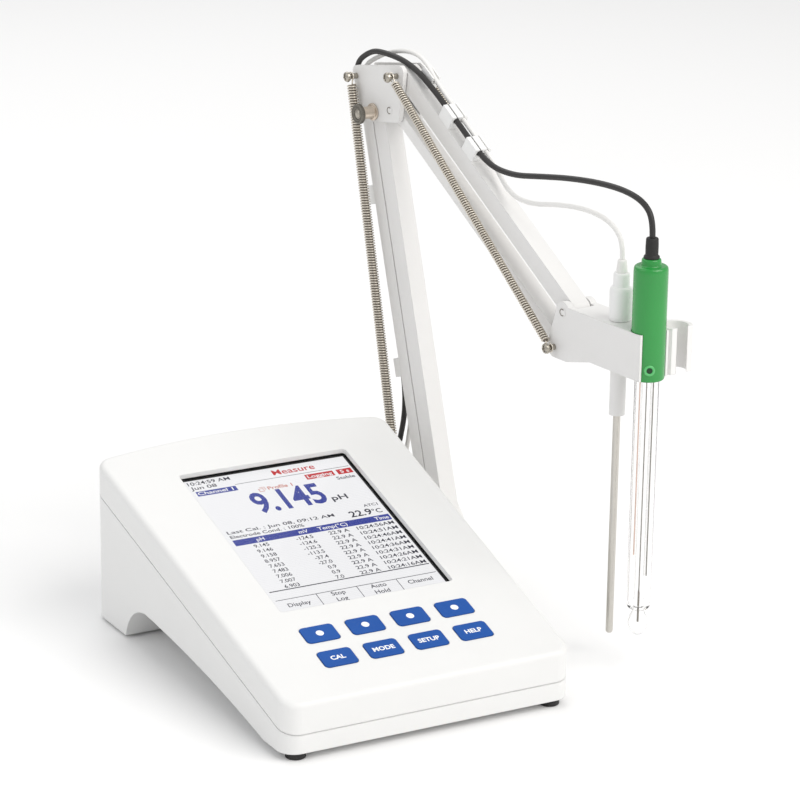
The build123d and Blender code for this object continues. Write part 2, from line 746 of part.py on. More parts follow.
# ================= head =================
side_clip_outer = side_clip_bore + side_clip_wall
head_plane = Plane.XY.offset(head_bottom)
electrode_axis = arm_point(probe_s, 0, 0)
probe_axis = arm_point(temp_s, 0, 0)
side_clip_axis = arm_point(probe_s - 0.8, side_clip_offset, 0)
ear_front = under_tip[0] + 10
with BuildPart() as head:
    with BuildSketch(arm_plane):
        with BuildLine():
            Polyline((upper_tip[0], head_top), (head_front, head_top), (head_front, head_bottom),
                     (ear_front + 18, head_bottom), (ear_front, under_tip[1] - head_round),
                     (under_tip[0], under_tip[1] - head_round),
                     (under_tip[0] - head_round, under_tip[1]),
                     (upper_tip[0] - head_round, upper_tip[1]), (upper_tip[0], head_top))
        make_face()
        with Locations(upper_tip, under_tip):
            Circle(head_round)
    extrude(amount=head_half, both=True)
    with BuildSketch(arm_plane):
        Polygon((head_slot_end, head_top + 20), (head_slot_end - 4, under_tip[1] - 20),
                (under_tip[0] - 20, under_tip[1] - 20), (under_tip[0] - 20, head_top + 20), align=None)
    extrude(amount=cheek_inner, both=True, mode=Mode.SUBTRACT)
    with BuildSketch(head_plane):
        with Locations(tuple(side_clip_axis)[:2]):
            Circle(side_clip_outer)
    extrude(amount=head_top - head_bottom)
    with BuildSketch(arm_plane.offset(-head_half)):
        with Locations((probe_s - 6.5, (head_top + head_bottom) / 2)):
            Rectangle(11, head_top - head_bottom)
    extrude(amount=head_half - side_clip_offset + 2)
    with BuildSketch(Plane.XY.offset(sleeve_bottom)):
        with Locations(tuple(probe_axis)[:2]):
            Circle(sleeve_radius)
    extrude(amount=head_top - sleeve_bottom - 4)
    with BuildSketch(Plane.XY.offset(sleeve_bottom - 1)):
        with Locations(tuple(probe_axis)[:2]):
            Circle(stem_radius + stem_gap)
        with Locations(tuple(electrode_axis)[:2]):
            Circle(cap_radius + clip_gap)
        with Locations(tuple(side_clip_axis)[:2]):
            Circle(side_clip_bore)
    extrude(amount=head_top, mode=Mode.SUBTRACT)
    with BuildSketch(arm_plane.offset(2 * head_half)):
        with Locations((head_front + 10, (head_top + head_bottom) / 2)):
            Rectangle(20, 2 * head_top)
    extrude(amount=-6 * head_half, mode=Mode.SUBTRACT)
    with BuildSketch(arm_plane):
        with Locations(upper_tip, under_tip):
            Circle(pivot_hole)
    extrude(amount=2 * head_half, both=True, mode=Mode.SUBTRACT)
finish("head", head.part)

with BuildPart() as head_pins:
    add(cross_pins([upper_tip], pivot_radius, head_half, 2.4, 0.5))
    add(cross_pins([under_tip], pivot_radius, screw_reach, 2.8, 1.8))
finish("head_pins", head_pins.part)

# ================= pH electrode =================
at_electrode = tuple(electrode_axis)[:2]
at_probe = tuple(probe_axis)[:2]


def turned(place, steps):
    """A stack of round sections on one vertical axis: (bottom, top, radius, bottom, top, ...)."""
    with BuildPart() as made:
        for low, high, radius in steps:
            with BuildSketch(Plane.XY.offset(low)):
                with Locations(place):
                    Circle(radius)
            extrude(amount=high - low)
    return made.part


glass_top = cap_bottom + core_in_cap
with BuildPart() as ph_cap:
    add(turned(at_electrode, [(cap_bottom, cap_top, cap_radius), (cap_top, cap_neck_top, cap_neck)]))
    fillet(edges().filter_by(GeomType.CIRCLE).group_by(Axis.Z)[1].sort_by(SortBy.RADIUS)[-1:], 0.9)
    with BuildSketch(Plane.XY.offset(cap_bottom)):
        with Locations(at_electrode):
            Circle(glass_radius)
    extrude(amount=core_in_cap, mode=Mode.SUBTRACT)
finish("ph_cap", ph_cap.part)

with BuildPart() as ph_glass:
    with BuildSketch(Plane.XY.offset(glass_bottom)):
        with Locations(at_electrode):
            Circle(glass_radius)
            Circle(glass_radius - glass_wall, mode=Mode.SUBTRACT)
    extrude(amount=glass_top - glass_bottom)
    with BuildSketch(Plane.XY.offset(glass_bottom - glass_wall)):
        with Locations(at_electrode):
            Circle(glass_radius)
            Circle(core_radius, mode=Mode.SUBTRACT)
    extrude(amount=glass_wall)
finish("ph_glass", ph_glass.part)

with BuildPart() as ph_core:
    with BuildSketch(Plane.XY.offset(bulb_middle)):
        with Locations(at_electrode):
            Circle(core_radius)
    extrude(amount=glass_top - bulb_middle)
    with Locations((at_electrode[0], at_electrode[1], bulb_middle)):
        Sphere(bulb_radius)
finish("ph_core", ph_core.part)

with BuildPart() as ph_relief:
    with BuildSketch(Plane.XY.offset(cap_neck_top)):
        with Locations(at_electrode):
            Circle(relief_radius + 0.6)
    extrude(amount=1.2)
    with BuildSketch(Plane.XY.offset(cap_neck_top)):
        with Locations(at_electrode):
            Circle(relief_radius)
    extrude(amount=relief_top - cap_neck_top)
finish("ph_relief", ph_relief.part)

# ================= temperature probe =================
with BuildPart() as temp_handle:
    add(turned(at_probe, [(head_top + 0.1, handle_top, handle_radius),
                          (handle_top, handle_neck_top, handle_neck)]))
    fillet(edges().filter_by(GeomType.CIRCLE).group_by(Axis.Z)[1].sort_by(SortBy.RADIUS)[-1:], 1.0)
    with BuildSketch(Plane.XY.offset(head_top)):
        with Locations(at_probe):
            Circle(stem_radius)
    extrude(amount=10, mode=Mode.SUBTRACT)
finish("temp_handle", temp_handle.part)
finish("temp_stem", turned(at_probe, [(stem_bottom, head_top + 10, stem_radius)]))
finish("temp_relief", turned(at_probe, [(handle_neck_top, temp_relief_top, temp_relief_radius)]))

# ================= leads =================
arm_length = hypot(arm_reach, arm_fall)
upper_along = (arm_reach / arm_length, arm_fall / arm_length)
post_run = (rear_foot_pivot[0] - rear_top_pivot[0], rear_foot_pivot[1] - rear_top_pivot[1])
post_length = hypot(*post_run)
post_along = (post_run[0] / post_length, post_run[1] / post_length)


def over_arm(place, height, lane):
    """Point over the upper bar: place along it from its pivot, height over its top face."""
    rise = top_bar_depth / 2 + height
    return arm_point(arm_pivot_s + upper_along[0] * place - upper_along[1] * rise, lane,
                     arm_pivot_z + upper_along[1] * place + upper_along[0] * rise)


def behind_post(place, height, lane):
    """Point behind the rear bar: place down it from its top pivot, height off its rear face."""
    rise = rear_bar_depth / 2 + height
    return arm_point(rear_top_pivot[0] + post_along[0] * place + post_along[1] * rise, lane,
                     rear_top_pivot[1] + post_along[1] * place - post_along[0] * rise)


def behind_case(x, y, z):
    """Point behind the case: y back from its rear edge."""
    return Vector(x, case_depth + y, z)


plug_end = panel_face + 2 + plug_length + plug_relief
ph_route = [
    arm_point(probe_s, 0, relief_top), arm_point(probe_s, 0, 231.6), arm_point(168, 0, 238.6),
    arm_point(154, 0, 241.4), arm_point(134, 0, 241), arm_point(110, 0, 238.2),
    arm_point(88, -0.6, 234.4), arm_point(66, -1.4, 230.4),
    over_arm(78, lead_height, ph_lane), over_arm(53, lead_height + 0.3, ph_lane),
    over_arm(17, lead_height, ph_lane),
    arm_point(-24, -1.8, 272), arm_point(-44, -1.7, 273.4), arm_point(-58, post_ph_lane, 272.2),
    arm_point(-73.5, post_ph_lane, 261.5), behind_post(20, post_lead_height, post_ph_lane),
    behind_post(48, post_lead_height, post_ph_lane + 0.3), behind_post(80, post_lead_height, post_ph_lane),
    behind_post(112, post_lead_height, post_ph_lane + 1.5),
    behind_post(140, post_lead_height, post_ph_lane), behind_post(176, post_lead_height, post_ph_lane),
    arm_point(-28, ph_lane, 56), arm_point(-40, ph_lane, 26), arm_point(-58, ph_lane, 4),
    arm_point(-82, -5, 1.7), behind_case(81, 80, 1.7), behind_case(64, 87, 1.7), behind_case(50, 83, 6),
    behind_case(46, 73, 20), behind_case(bnc_x - 0.5, 58, 40), behind_case(bnc_x, 41, panel_middle),
    Vector(bnc_x, plug_end, panel_middle)]
temp_route = [
    arm_point(temp_s, 0, temp_relief_top), arm_point(temp_s, 0, 213.6), arm_point(148.5, 0, 220.4),
    arm_point(139, -0.3, 224.6), arm_point(124, -1.2, 226), arm_point(104, -2.2, 223.8),
    arm_point(84, -2.6, 219.4), arm_point(64, -1.2, 220),
    over_arm(78, lead_height, temp_lane), over_arm(53, lead_height + 0.3, temp_lane),
    over_arm(20, lead_height, temp_lane),
    arm_point(-16, 2.7, 275.5), arm_point(-32, 2.6, 276.8), arm_point(-53, temp_lane, 270.8),
    arm_point(-73, temp_lane, 259.5), behind_post(20, post_lead_height, temp_lane),
    behind_post(48, post_lead_height, temp_lane + 0.3), behind_post(80, post_lead_height, temp_lane),
    behind_post(112, post_lead_height, temp_lane + 1.5),
    behind_post(140, post_lead_height, temp_lane), behind_post(176, post_lead_height, temp_lane),
    arm_point(-26, temp_lane, 54), arm_point(-38, temp_lane, 25), arm_point(-56, temp_lane, 4),
    arm_point(-84, 1, 1.5), behind_case(92, 91, 1.5), behind_case(71, 104, 1.5), behind_case(48, 103, 2),
    behind_case(33, 90, 9), behind_case(temp_x + 1.5, 74, 26), behind_case(temp_x, 53, 44),
    behind_case(temp_x, 39, panel_middle),
    Vector(temp_x, plug_end - 6, panel_middle)]
stretches = ["probe", "drop", "upper", "lower", "foot", "table"]
ph_cuts = [4, 9, 12, 17, 21]      # runs cut in their middle, where one stretch ends and the next begins
temp_cuts = [4, 9, 12, 17, 21]


def lead(prefix, route, cuts, radius):
    """One lead cut into stretches, each a tube of straight runs joined by tangent arcs."""
    radii = []
    for before, corner, after in zip(route, route[1:], route[2:]):
        half_turn = radians((corner - before).get_angle(after - corner)) / 2
        run = min((corner - before).length, (after - corner).length)
        radii.append(0.45 * run / tan(half_turn))
    print(prefix, "bend radii", [round(r) for r in radii], "least", round(min(radii), 1))
    length = 0
    marks = [0] + cuts + [len(route) - 1]
    for number, stretch in enumerate(stretches):
        first, last = marks[number], marks[number + 1]
        inner = route[first + 1:last + 1]
        start = (route[first] + route[first + 1]) / 2
        end = route[-1]
        if number == 0:
            start = route[0]
        if number == len(stretches) - 1:
            inner = route[first + 1:last]
        else:
            end = (route[last] + route[last + 1]) / 2
        bends = [radii[route.index(point) - 1] for point in inner]
        with BuildPart() as tube:
            with BuildLine() as path:
                FilletPolyline(start, *inner, end, radius=bends)
            wire = path.wire()
            with BuildSketch(Plane(origin=start, z_dir=wire % 0)):
                Circle(radius)
            sweep(path=wire)
        length += wire.length
        expected = wire.length * radius ** 2 * pi
        print(prefix, stretch, "tube over section x length", round(tube.part.volume / expected, 4))
        finish(prefix + "_" + stretch, tube.part)
    print(prefix, "length", round(length))


lead("ph_lead", ph_route, ph_cuts, ph_lead_radius)
lead("temp_lead", temp_route, temp_cuts, temp_lead_radius)

for plug_name, plug_x, reach, barrel, body, lead_radius in (
        ("ph_plug", bnc_x, plug_end, bnc_radius + 0.1, plug_radius, ph_lead_radius),
        ("temp_plug", temp_x, plug_end - 6, temp_socket_radius - 2, plug_radius - 1.8, temp_lead_radius)):
    plug_plane = Plane(origin=(plug_x, panel_face + 2, panel_middle), x_dir=(1, 0, 0), z_dir=(0, 1, 0))
    body_length = reach - panel_face - 2 - plug_relief
    with BuildPart() as plug:
        with BuildSketch(plug_plane):
            Circle(body)
        extrude(amount=body_length)
        with BuildSketch(plug_plane):
            Circle(barrel)
        extrude(amount=bnc_length - 1, mode=Mode.SUBTRACT)
        with BuildSketch(plug_plane.offset(body_length)):
            Circle(body * 0.6)
        with BuildSketch(plug_plane.offset(body_length + plug_relief)):
            Circle(lead_radius + 0.8)
        loft()
    finish(plug_name, plug.part)

# ================= hand over =================
# The frame's origin is under the middle of everything but the leads and their plugs, on the table.
boxes = [part.bounding_box() for name, part in nodes.items() if "lead" not in name and "plug" not in name]
lowest = [min(tuple(box.min)[axis] for box in boxes) for axis in range(3)]
highest = [max(tuple(box.max)[axis] for box in boxes) for axis in range(3)]
shift = Location((-(lowest[0] + highest[0]) / 2, -(lowest[1] + highest[1]) / 2, -lowest[2]))
print("shift", shift.position, "box", lowest, highest)
for name, part in nodes.items():
    moved = part.moved(shift)
    moved.label = name
    export_step(moved, "parts/" + name + ".step")
print(len(nodes), "nodes")
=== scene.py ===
import bmesh
import bpy
from math import atan2, cos, hypot, pi, radians, sin
from mathutils import Matrix, Vector


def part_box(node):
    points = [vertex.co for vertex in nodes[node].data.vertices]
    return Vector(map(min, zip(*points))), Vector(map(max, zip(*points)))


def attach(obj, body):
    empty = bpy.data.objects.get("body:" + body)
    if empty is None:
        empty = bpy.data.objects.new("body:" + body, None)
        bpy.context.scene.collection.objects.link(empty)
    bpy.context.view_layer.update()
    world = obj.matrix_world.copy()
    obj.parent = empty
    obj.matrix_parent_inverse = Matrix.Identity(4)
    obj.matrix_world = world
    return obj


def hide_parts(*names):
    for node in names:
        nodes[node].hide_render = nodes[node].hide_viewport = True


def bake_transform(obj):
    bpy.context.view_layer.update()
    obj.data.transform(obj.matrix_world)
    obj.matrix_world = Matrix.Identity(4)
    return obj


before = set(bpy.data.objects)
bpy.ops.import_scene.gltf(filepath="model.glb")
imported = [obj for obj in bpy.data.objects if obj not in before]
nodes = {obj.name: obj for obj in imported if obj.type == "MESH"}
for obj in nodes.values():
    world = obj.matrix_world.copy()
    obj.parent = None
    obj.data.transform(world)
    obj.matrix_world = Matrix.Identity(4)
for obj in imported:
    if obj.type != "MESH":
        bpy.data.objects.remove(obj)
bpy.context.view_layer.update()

mm = 0.001

# The case's own axes: x across from its middle, y from the front edge, z up from the table.
windowLow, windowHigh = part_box("display_window")
middleX = (windowLow.x + windowHigh.x) / 2
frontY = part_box("bottom_case")[0].y
case = {"depth": 217.0, "frontTop": 29.2, "rearTop": 88.4, "panelFace": 205.5, "panelMiddle": 50.5}
slope = atan2(case["rearTop"] - case["frontTop"], case["depth"])
arm = {"x": 109.0, "y": 200.5, "turn": radians(7.5), "cheekOuter": 7.9, "screwReach": 13.8,
       "topBarDepth": 10.0, "rearBarDepth": 9.0, "probe": 174.8, "thermometer": 153.0,
       "rearFoot": (0.2, 38.5), "frontFoot": (16.1, 22.0), "springFoot": (-12.0, 30.0),
       "rearTop": (-61.9, 258.5), "frontTop": (-46.0, 242.0), "upper": (-25.5, 265.0),
       "under": (-31.5, 245.5), "upperTip": (119.2, 172.8), "underTip": (113.2, 153.3)}
armForward = Vector((sin(arm["turn"]), -cos(arm["turn"]), 0))
armRight = Vector((cos(arm["turn"]), sin(arm["turn"]), 0))
up = Vector((0, 0, 1))


def at(x, y, z):
    return Vector((middleX + x * mm, frontY + y * mm, z * mm))


def armAt(s, w, z):    # s forward from the swivel pin, w to its right, z up
    return at(arm["x"], arm["y"], z) + (armForward * s + armRight * w) * mm


def onSlope(u, v, h=0.0):    # u across, v up the sloping face, h out of it
    return at(u, v * cos(slope) - h * sin(slope), case["frontTop"] + v * sin(slope) + h * cos(slope))


# ---- camera and studio ----
view = {"from": (-685.7, -1226.6, 632.4), "to": (39.5, 109.0, 129.7), "roll": 0.77, "lens": 144.8}


def setCamera():
    camera = bpy.data.objects.new("camera", bpy.data.cameras.new("camera"))
    bpy.context.scene.collection.objects.link(camera)
    place, target = at(*view["from"]), at(*view["to"])
    back = (place - target).normalized()
    across = up.cross(back).normalized()
    top = back.cross(across)
    roll = radians(view["roll"])
    right = across * cos(roll) + top * sin(roll)
    top = back.cross(right)
    camera.matrix_world = Matrix.Translation(place) @ Matrix((right, top, back)).transposed().to_4x4()
    camera.data.lens = view["lens"]
    camera.data.clip_end = 50
    bpy.context.scene.camera = camera


def addNode(tree, kind, inputs=None, **settings):
    node = tree.nodes.new(kind)
    for name, value in settings.items():
        setattr(node, name, value)
    for name, value in (inputs or {}).items():
        if isinstance(value, bpy.types.NodeSocket):
            tree.links.new(value, node.inputs[name])
        else:
            node.inputs[name].default_value = value
    return node


def hexColour(code, alpha=1.0):
    parts = [int(code[i:i + 2], 16) / 255 for i in (1, 3, 5)]
    return [c / 12.92 if c <= 0.04045 else ((c + 0.055) / 1.055) ** 2.4 for c in parts] + [alpha]


def startMaterial(name):
    material = bpy.data.materials.new(name)
    material.use_nodes = True
    tree = material.node_tree
    tree.nodes.clear()
    shader = addNode(tree, "ShaderNodeBsdfPrincipled")
    addNode(tree, "ShaderNodeOutputMaterial", {"Surface": shader.outputs["BSDF"]})
    place = addNode(tree, "ShaderNodeTexCoord").outputs["Object"]
    return material, tree, shader, place


def setShader(shader, **values):
    for name, value in values.items():
        shader.inputs[name.replace("_", " ")].default_value = value


def area(name, place, target, size, power, colour):
    lamp = bpy.data.objects.new(name, bpy.data.lights.new(name, "AREA"))
    bpy.context.scene.collection.objects.link(lamp)
    lamp.data.size = size
    lamp.data.energy = power
    lamp.data.color = hexColour(colour)[:3]
    lamp.location = place
    lamp.rotation_euler = (place - target).to_track_quat("Z", "Y").to_euler()


def setStudio():
    world = bpy.data.worlds.new("studio")
    bpy.context.scene.world = world
    world.use_nodes = True
    background = world.node_tree.nodes["Background"]
    background.inputs["Color"].default_value = hexColour("#FFFFFF")
    background.inputs["Strength"].default_value = 0.62
    bpy.context.scene.view_settings.view_transform = "Standard"
    middle = at(20, 100, 120)
    area("key_light", at(900, -1500, 1900), middle, 2.2, 44, "#FFFDFA")
    area("side_light", at(-1500, 300, 1200), middle, 1.5, 5, "#FAFCFF")
    area("back_light", at(200, 1500, 1500), middle, 1.5, 8, "#FFFFFF")
    mesh = bpy.data.meshes.new("floor")
    mesh.from_pydata([(-6, -6, 0), (6, -6, 0), (6, 6, 0), (-6, 6, 0)], [], [(0, 1, 2, 3)])
    floor = bpy.data.objects.new("floor", mesh)
    bpy.context.scene.collection.objects.link(floor)
    material, tree, shader, place = startMaterial("painted backdrop, matt white")
    setShader(shader, Base_Color=hexColour("#F7F7F7"), Roughness=0.9)
    mesh.materials.append(material)


setCamera()
setStudio()
print("camera and studio ready")


# ---- finishes ----
def speckled(name, light, dark, roughness, grain, bump, edge=0.35, **more):
    # a moulded or cast skin: two close tones, a fine grain in relief and softened edges
    material, tree, shader, place = startMaterial(name)
    broad = addNode(tree, "ShaderNodeTexNoise", {"Vector": place, "Scale": 35.0, "Detail": 3.0})
    tone = addNode(tree, "ShaderNodeMix", {0: broad.outputs["Fac"], 6: hexColour(dark), 7: hexColour(light)},
                   data_type="RGBA")
    fine = addNode(tree, "ShaderNodeTexNoise", {"Vector": place, "Scale": 1 / (grain * mm), "Detail": 2.0})
    soft = addNode(tree, "ShaderNodeBevel", {"Radius": edge * mm}, samples=4)
    relief = addNode(tree, "ShaderNodeBump", {"Height": fine.outputs["Fac"], "Distance": bump * mm,
                                              "Strength": 0.6, "Normal": soft.outputs["Normal"]})
    worn = addNode(tree, "ShaderNodeMapRange", {"Value": broad.outputs["Fac"], "To Min": roughness - 0.05,
                                                "To Max": roughness + 0.06})
    tree.links.new(tone.outputs[2], shader.inputs["Base Color"])
    tree.links.new(relief.outputs["Normal"], shader.inputs["Normal"])
    tree.links.new(worn.outputs["Result"], shader.inputs["Roughness"])
    setShader(shader, **more)
    return material


def brushed(name, light, dark, roughness, spacing, along=(1, 1, 12), edge=0.15, **more):
    # metal with fine lines from turning, drawing or brushing, stretched along one axis
    material, tree, shader, place = startMaterial(name)
    lines = addNode(tree, "ShaderNodeMapping", {"Vector": place, "Scale": along})
    grain = addNode(tree, "ShaderNodeTexNoise", {"Vector": lines.outputs["Vector"],
                                                 "Scale": 1 / (spacing * mm), "Detail": 2.0})
    tone = addNode(tree, "ShaderNodeMix", {0: grain.outputs["Fac"], 6: hexColour(dark), 7: hexColour(light)},
                   data_type="RGBA")
    spread = addNode(tree, "ShaderNodeMapRange", {"Value": grain.outputs["Fac"], "To Min": roughness - 0.06,
                                                  "To Max": roughness + 0.1})
    soft = addNode(tree, "ShaderNodeBevel", {"Radius": edge * mm}, samples=4)
    relief = addNode(tree, "ShaderNodeBump", {"Height": grain.outputs["Fac"], "Distance": 0.02 * mm,
                                              "Strength": 0.5, "Normal": soft.outputs["Normal"]})
    tree.links.new(tone.outputs[2], shader.inputs["Base Color"])
    tree.links.new(spread.outputs["Result"], shader.inputs["Roughness"])
    tree.links.new(relief.outputs["Normal"], shader.inputs["Normal"])
    setShader(shader, Metallic=1.0, **more)
    return material


def clear(name, tint, ior, roughness, **more):
    material, tree, shader, place = startMaterial(name)
    streaks = addNode(tree, "ShaderNodeTexNoise", {"Vector": place, "Scale": 60.0, "Detail": 1.0})
    relief = addNode(tree, "ShaderNodeBump", {"Height": streaks.outputs["Fac"], "Distance": 0.01 * mm,
                                              "Strength": 0.3})
    tree.links.new(relief.outputs["Normal"], shader.inputs["Normal"])
    setShader(shader, Base_Color=hexColour(tint), Roughness=roughness, IOR=ior, Transmission_Weight=1.0, **more)
    return material


def coated(name):
    material, tree, shader, place = startMaterial(name)
    grain = addNode(tree, "ShaderNodeTexNoise", {"Vector": place, "Scale": 90.0})
    relief = addNode(tree, "ShaderNodeBump", {"Height": grain.outputs["Fac"], "Distance": 0.004 * mm})
    tree.links.new(relief.outputs["Normal"], shader.inputs["Normal"])
    setShader(shader, Base_Color=hexColour("#0A0A0C"), Roughness=0.05, IOR=1.49, Alpha=0.06)
    return material


def glowing(name, colour, strength, pitch=0.36):
    # a lit dot of the display: its own light, with the fine dark grid between the dots
    material, tree, shader, place = startMaterial(name)
    cell = addNode(tree, "ShaderNodeTexVoronoi", {"Vector": place, "Scale": 1 / (pitch * mm), "Randomness": 0.0})
    grid = addNode(tree, "ShaderNodeMapRange", {"Value": cell.outputs["Distance"], "From Min": 0.35,
                                                "From Max": 0.7, "To Min": 1.0, "To Max": 0.88})
    lit = addNode(tree, "ShaderNodeMix", {0: grid.outputs["Result"], 6: hexColour("#101014"),
                                          7: hexColour(colour)}, data_type="RGBA")
    tree.links.new(lit.outputs[2], shader.inputs["Emission Color"])
    setShader(shader, Base_Color=hexColour("#0C0C0E"), Roughness=0.35, Emission_Strength=strength)
    return material


# ABS with a fine spark-eroded grain: a soft white with no hard glints
caseAbs = speckled("moulded ABS, fine spark grain", "#E9E9E8", "#E5E5E4", 0.46, 0.45, 0.02, edge=0.5, IOR=1.53)
# glass-filled nylon of the arm: a little glossier, faint flow marks
armNylon = speckled("moulded glass-filled nylon", "#EBEAE9", "#E6E5E3", 0.40, 0.7, 0.015, edge=0.45, IOR=1.53)
# grey ABS of the rear panel: flatter and a little rougher than the case
panelAbs = speckled("moulded grey ABS", "#C9C9C8", "#BEBEBD", 0.5, 0.4, 0.02, IOR=1.53)
# polycarbonate key caps dyed through: satin, in two close tones
keyBlue = speckled("moulded blue polycarbonate", "#0552A6", "#044898", 0.44, 0.3, 0.015, edge=0.5, IOR=1.36)
# screen-printed inks: thin, flat and almost without grain
legendInk = speckled("printed white ink", "#FBFBFB", "#F0F0F0", 0.55, 0.2, 0.004, edge=0.01)
frameInk = speckled("printed black border", "#101012", "#060607", 0.42, 0.3, 0.006, edge=0.05)
# rubbers: matt, with a grain that breaks up the light
blackRubber = speckled("moulded black rubber", "#252424", "#191818", 0.62, 0.35, 0.03, edge=0.3, IOR=1.5)
siliconeMat = speckled("moulded silicone rubber", "#C6C6C0", "#B8B8B2", 0.55, 0.5, 0.01)
# solder mask over glass epoxy: an even green gloss
boardGreen = speckled("green solder mask on glass epoxy", "#1F6B3A", "#175A30", 0.35, 0.8, 0.01)
# PEI of the electrode's cap: dyed through and the glossiest of the mouldings
capGreen = speckled("moulded green PEI", "#289B42", "#1F8838", 0.24, 0.5, 0.01, edge=0.4, IOR=1.6)
# extruded PVC sheaths and turned acetal: smooth, with a soft broad sheen
blackSheath = speckled("extruded black PVC", "#2C2A29", "#201E1E", 0.5, 0.6, 0.012, IOR=1.53)
whiteSheath = speckled("extruded white PVC", "#F1F0EE", "#E6E5E2", 0.45, 0.6, 0.012, IOR=1.53)
whitePolymer = speckled("moulded white acetal", "#F5F5F4", "#ECECEB", 0.36, 0.5, 0.01, IOR=1.48)
# metals: fine lines along the way that each was turned, drawn or brushed
nickel = brushed("turned brass, nickel plated", "#CBC5BA", "#8F897E", 0.24, 0.25, along=(1, 1, 6))
springWire = brushed("drawn spring steel wire", "#EBE5DA", "#CFC7BA", 0.30, 0.2)
stainless = brushed("drawn stainless steel tube", "#DCD9D3", "#BDB9B1", 0.28, 0.3, along=(6, 6, 0.4))
plateSteel = brushed("brushed stainless steel sheet", "#BEBDBA", "#A3A29E", 0.34, 0.4, along=(0.3, 8, 8))
silverWire = brushed("chloride-coated silver wire", "#ABA69F", "#7A756E", 0.45, 0.3)
# thin glass in front of white: a low IOR keeps its edges as pale as thin walls look
tubeGlass = clear("drawn borosilicate glass", "#FFFFFF", 1.16, 0.01)
bulbGlass = clear("blown pH glass", "#FFFFFF", 1.12, 0.01)
# hard-coated acrylic of the display window: thin, flat and faintly glossy
windowClear = coated("clear hard-coated acrylic")
# dots of the lit display, in its few colours
litWhite = glowing("lit panel, white dots", "#FDFDFF", 1.0)
litBlue = glowing("lit panel, blue dots", "#2338A4", 0.9)
litRed = glowing("lit panel, red dots", "#D4101C", 0.9)
litDark = glowing("lit panel, dark dots", "#26263A", 0.9)
litOrange = glowing("lit panel, orange dots", "#D2603F", 0.9)

nodeFinish = {
    "top_case": caseAbs, "bottom_case": caseAbs, "display_window": windowClear, "lcd_frame": frameInk,
    "lcd_module": litWhite, "key_mat": siliconeMat, "key_board": boardGreen, "main_board": boardGreen,
    "rear_panel": panelAbs, "sensor_sockets": nickel, "data_ports": stainless, "power_switch": blackRubber,
    "rubber_feet": blackRubber, "case_screws": nickel, "base_plate": plateSteel,
    "rear_bar": armNylon, "front_bar": armNylon, "top_bar": armNylon, "under_bar": armNylon,
    "arm_base": armNylon, "base_pins": nickel, "knuckle": armNylon, "knuckle_screws": nickel,
    "knob_left": nickel, "knob_right": nickel, "lower_springs": springWire, "upper_springs": springWire,
    "upper_clips": whitePolymer, "lower_clips": whitePolymer, "head": armNylon, "head_pins": nickel,
    "ph_cap": capGreen, "ph_glass": tubeGlass, "ph_core": tubeGlass, "ph_relief": blackRubber,
    "temp_handle": whitePolymer, "temp_stem": stainless, "temp_relief": whiteSheath,
    "ph_plug": blackRubber, "temp_plug": whiteSheath}
for name, node in nodes.items():
    finish = nodeFinish.get(name)
    if name.endswith("_key") or name.startswith("soft_key"):
        finish = keyBlue
    if "_lead_" in name:
        finish = blackSheath if name.startswith("ph") else whiteSheath
    node.data.materials.clear()
    node.data.materials.append(finish)
print("finishes on", len(nodes), "CAD nodes")


# ---- shared ways to make a piece ----
def newPiece(name, mesh, material):
    piece = bpy.data.objects.new(name, mesh)
    bpy.context.scene.collection.objects.link(piece)
    if material:
        mesh.materials.clear()
        mesh.materials.append(material)
    return piece


def evaluated(source):
    bpy.context.view_layer.update()
    graph = bpy.context.evaluated_depsgraph_get()
    return bpy.data.meshes.new_from_object(source.evaluated_get(graph), depsgraph=graph)


def softened(profile, radius, steps=4):    # rounds each inner corner of a turned profile
    points = [Vector(p) for p in profile]
    out = [points[0]]
    for before, corner, after in zip(points, points[1:], points[2:]):
        reach = min(radius, 0.45 * (corner - before).length, 0.45 * (after - corner).length)
        first = corner + (before - corner).normalized() * reach
        last = corner + (after - corner).normalized() * reach
        for i in range(steps + 1):
            t = i / steps
            out.append(first * (1 - t) ** 2 + corner * 2 * t * (1 - t) + last * t ** 2)
    return out + [points[-1]]


def turnedMesh(name, profile, origin, axis, segments=48):
    # profile: (radius, height) in mm along the axis, closed at the poles where the radius is 0
    shape = bmesh.new()
    axis = axis.normalized()
    side = (armRight if abs(axis.dot(armRight)) < 0.9 else up).cross(axis).normalized()
    other = axis.cross(side)
    rings = []
    for radius, height in profile:
        middle = origin + axis * height * mm
        if radius < 1e-6:
            rings.append([shape.verts.new(middle)])
            continue
        turns = [2 * pi * i / segments for i in range(segments)]
        rings.append([shape.verts.new(middle + (side * cos(a) + other * sin(a)) * radius * mm) for a in turns])
    for low, high in zip(rings, rings[1:]):
        for i in range(segments):
            j = (i + 1) % segments
            corners = []
            for vert in (low[i % len(low)], low[j % len(low)], high[j % len(high)], high[i % len(high)]):
                if vert not in corners:
                    corners.append(vert)
            if len(corners) > 2:
                shape.faces.new(corners)
    bmesh.ops.recalc_face_normals(shape, faces=shape.faces)
    mesh = bpy.data.meshes.new(name)
    shape.to_mesh(mesh)
    shape.free()
    mesh.shade_smooth()
    return mesh


def joined(name, meshes):
    whole = bmesh.new()
    for mesh in meshes:
        whole.from_mesh(mesh)
    result = bpy.data.meshes.new(name)
    whole.to_mesh(result)
    whole.free()
    return result


def turnedPiece(name, profile, origin, axis, material, body, radius=0.3, segments=48):
    piece = newPiece(name, turnedMesh(name, softened(profile, radius), origin, axis, segments), material)
    piece.data.set_sharp_from_angle(angle=radians(40))
    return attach(piece, body)


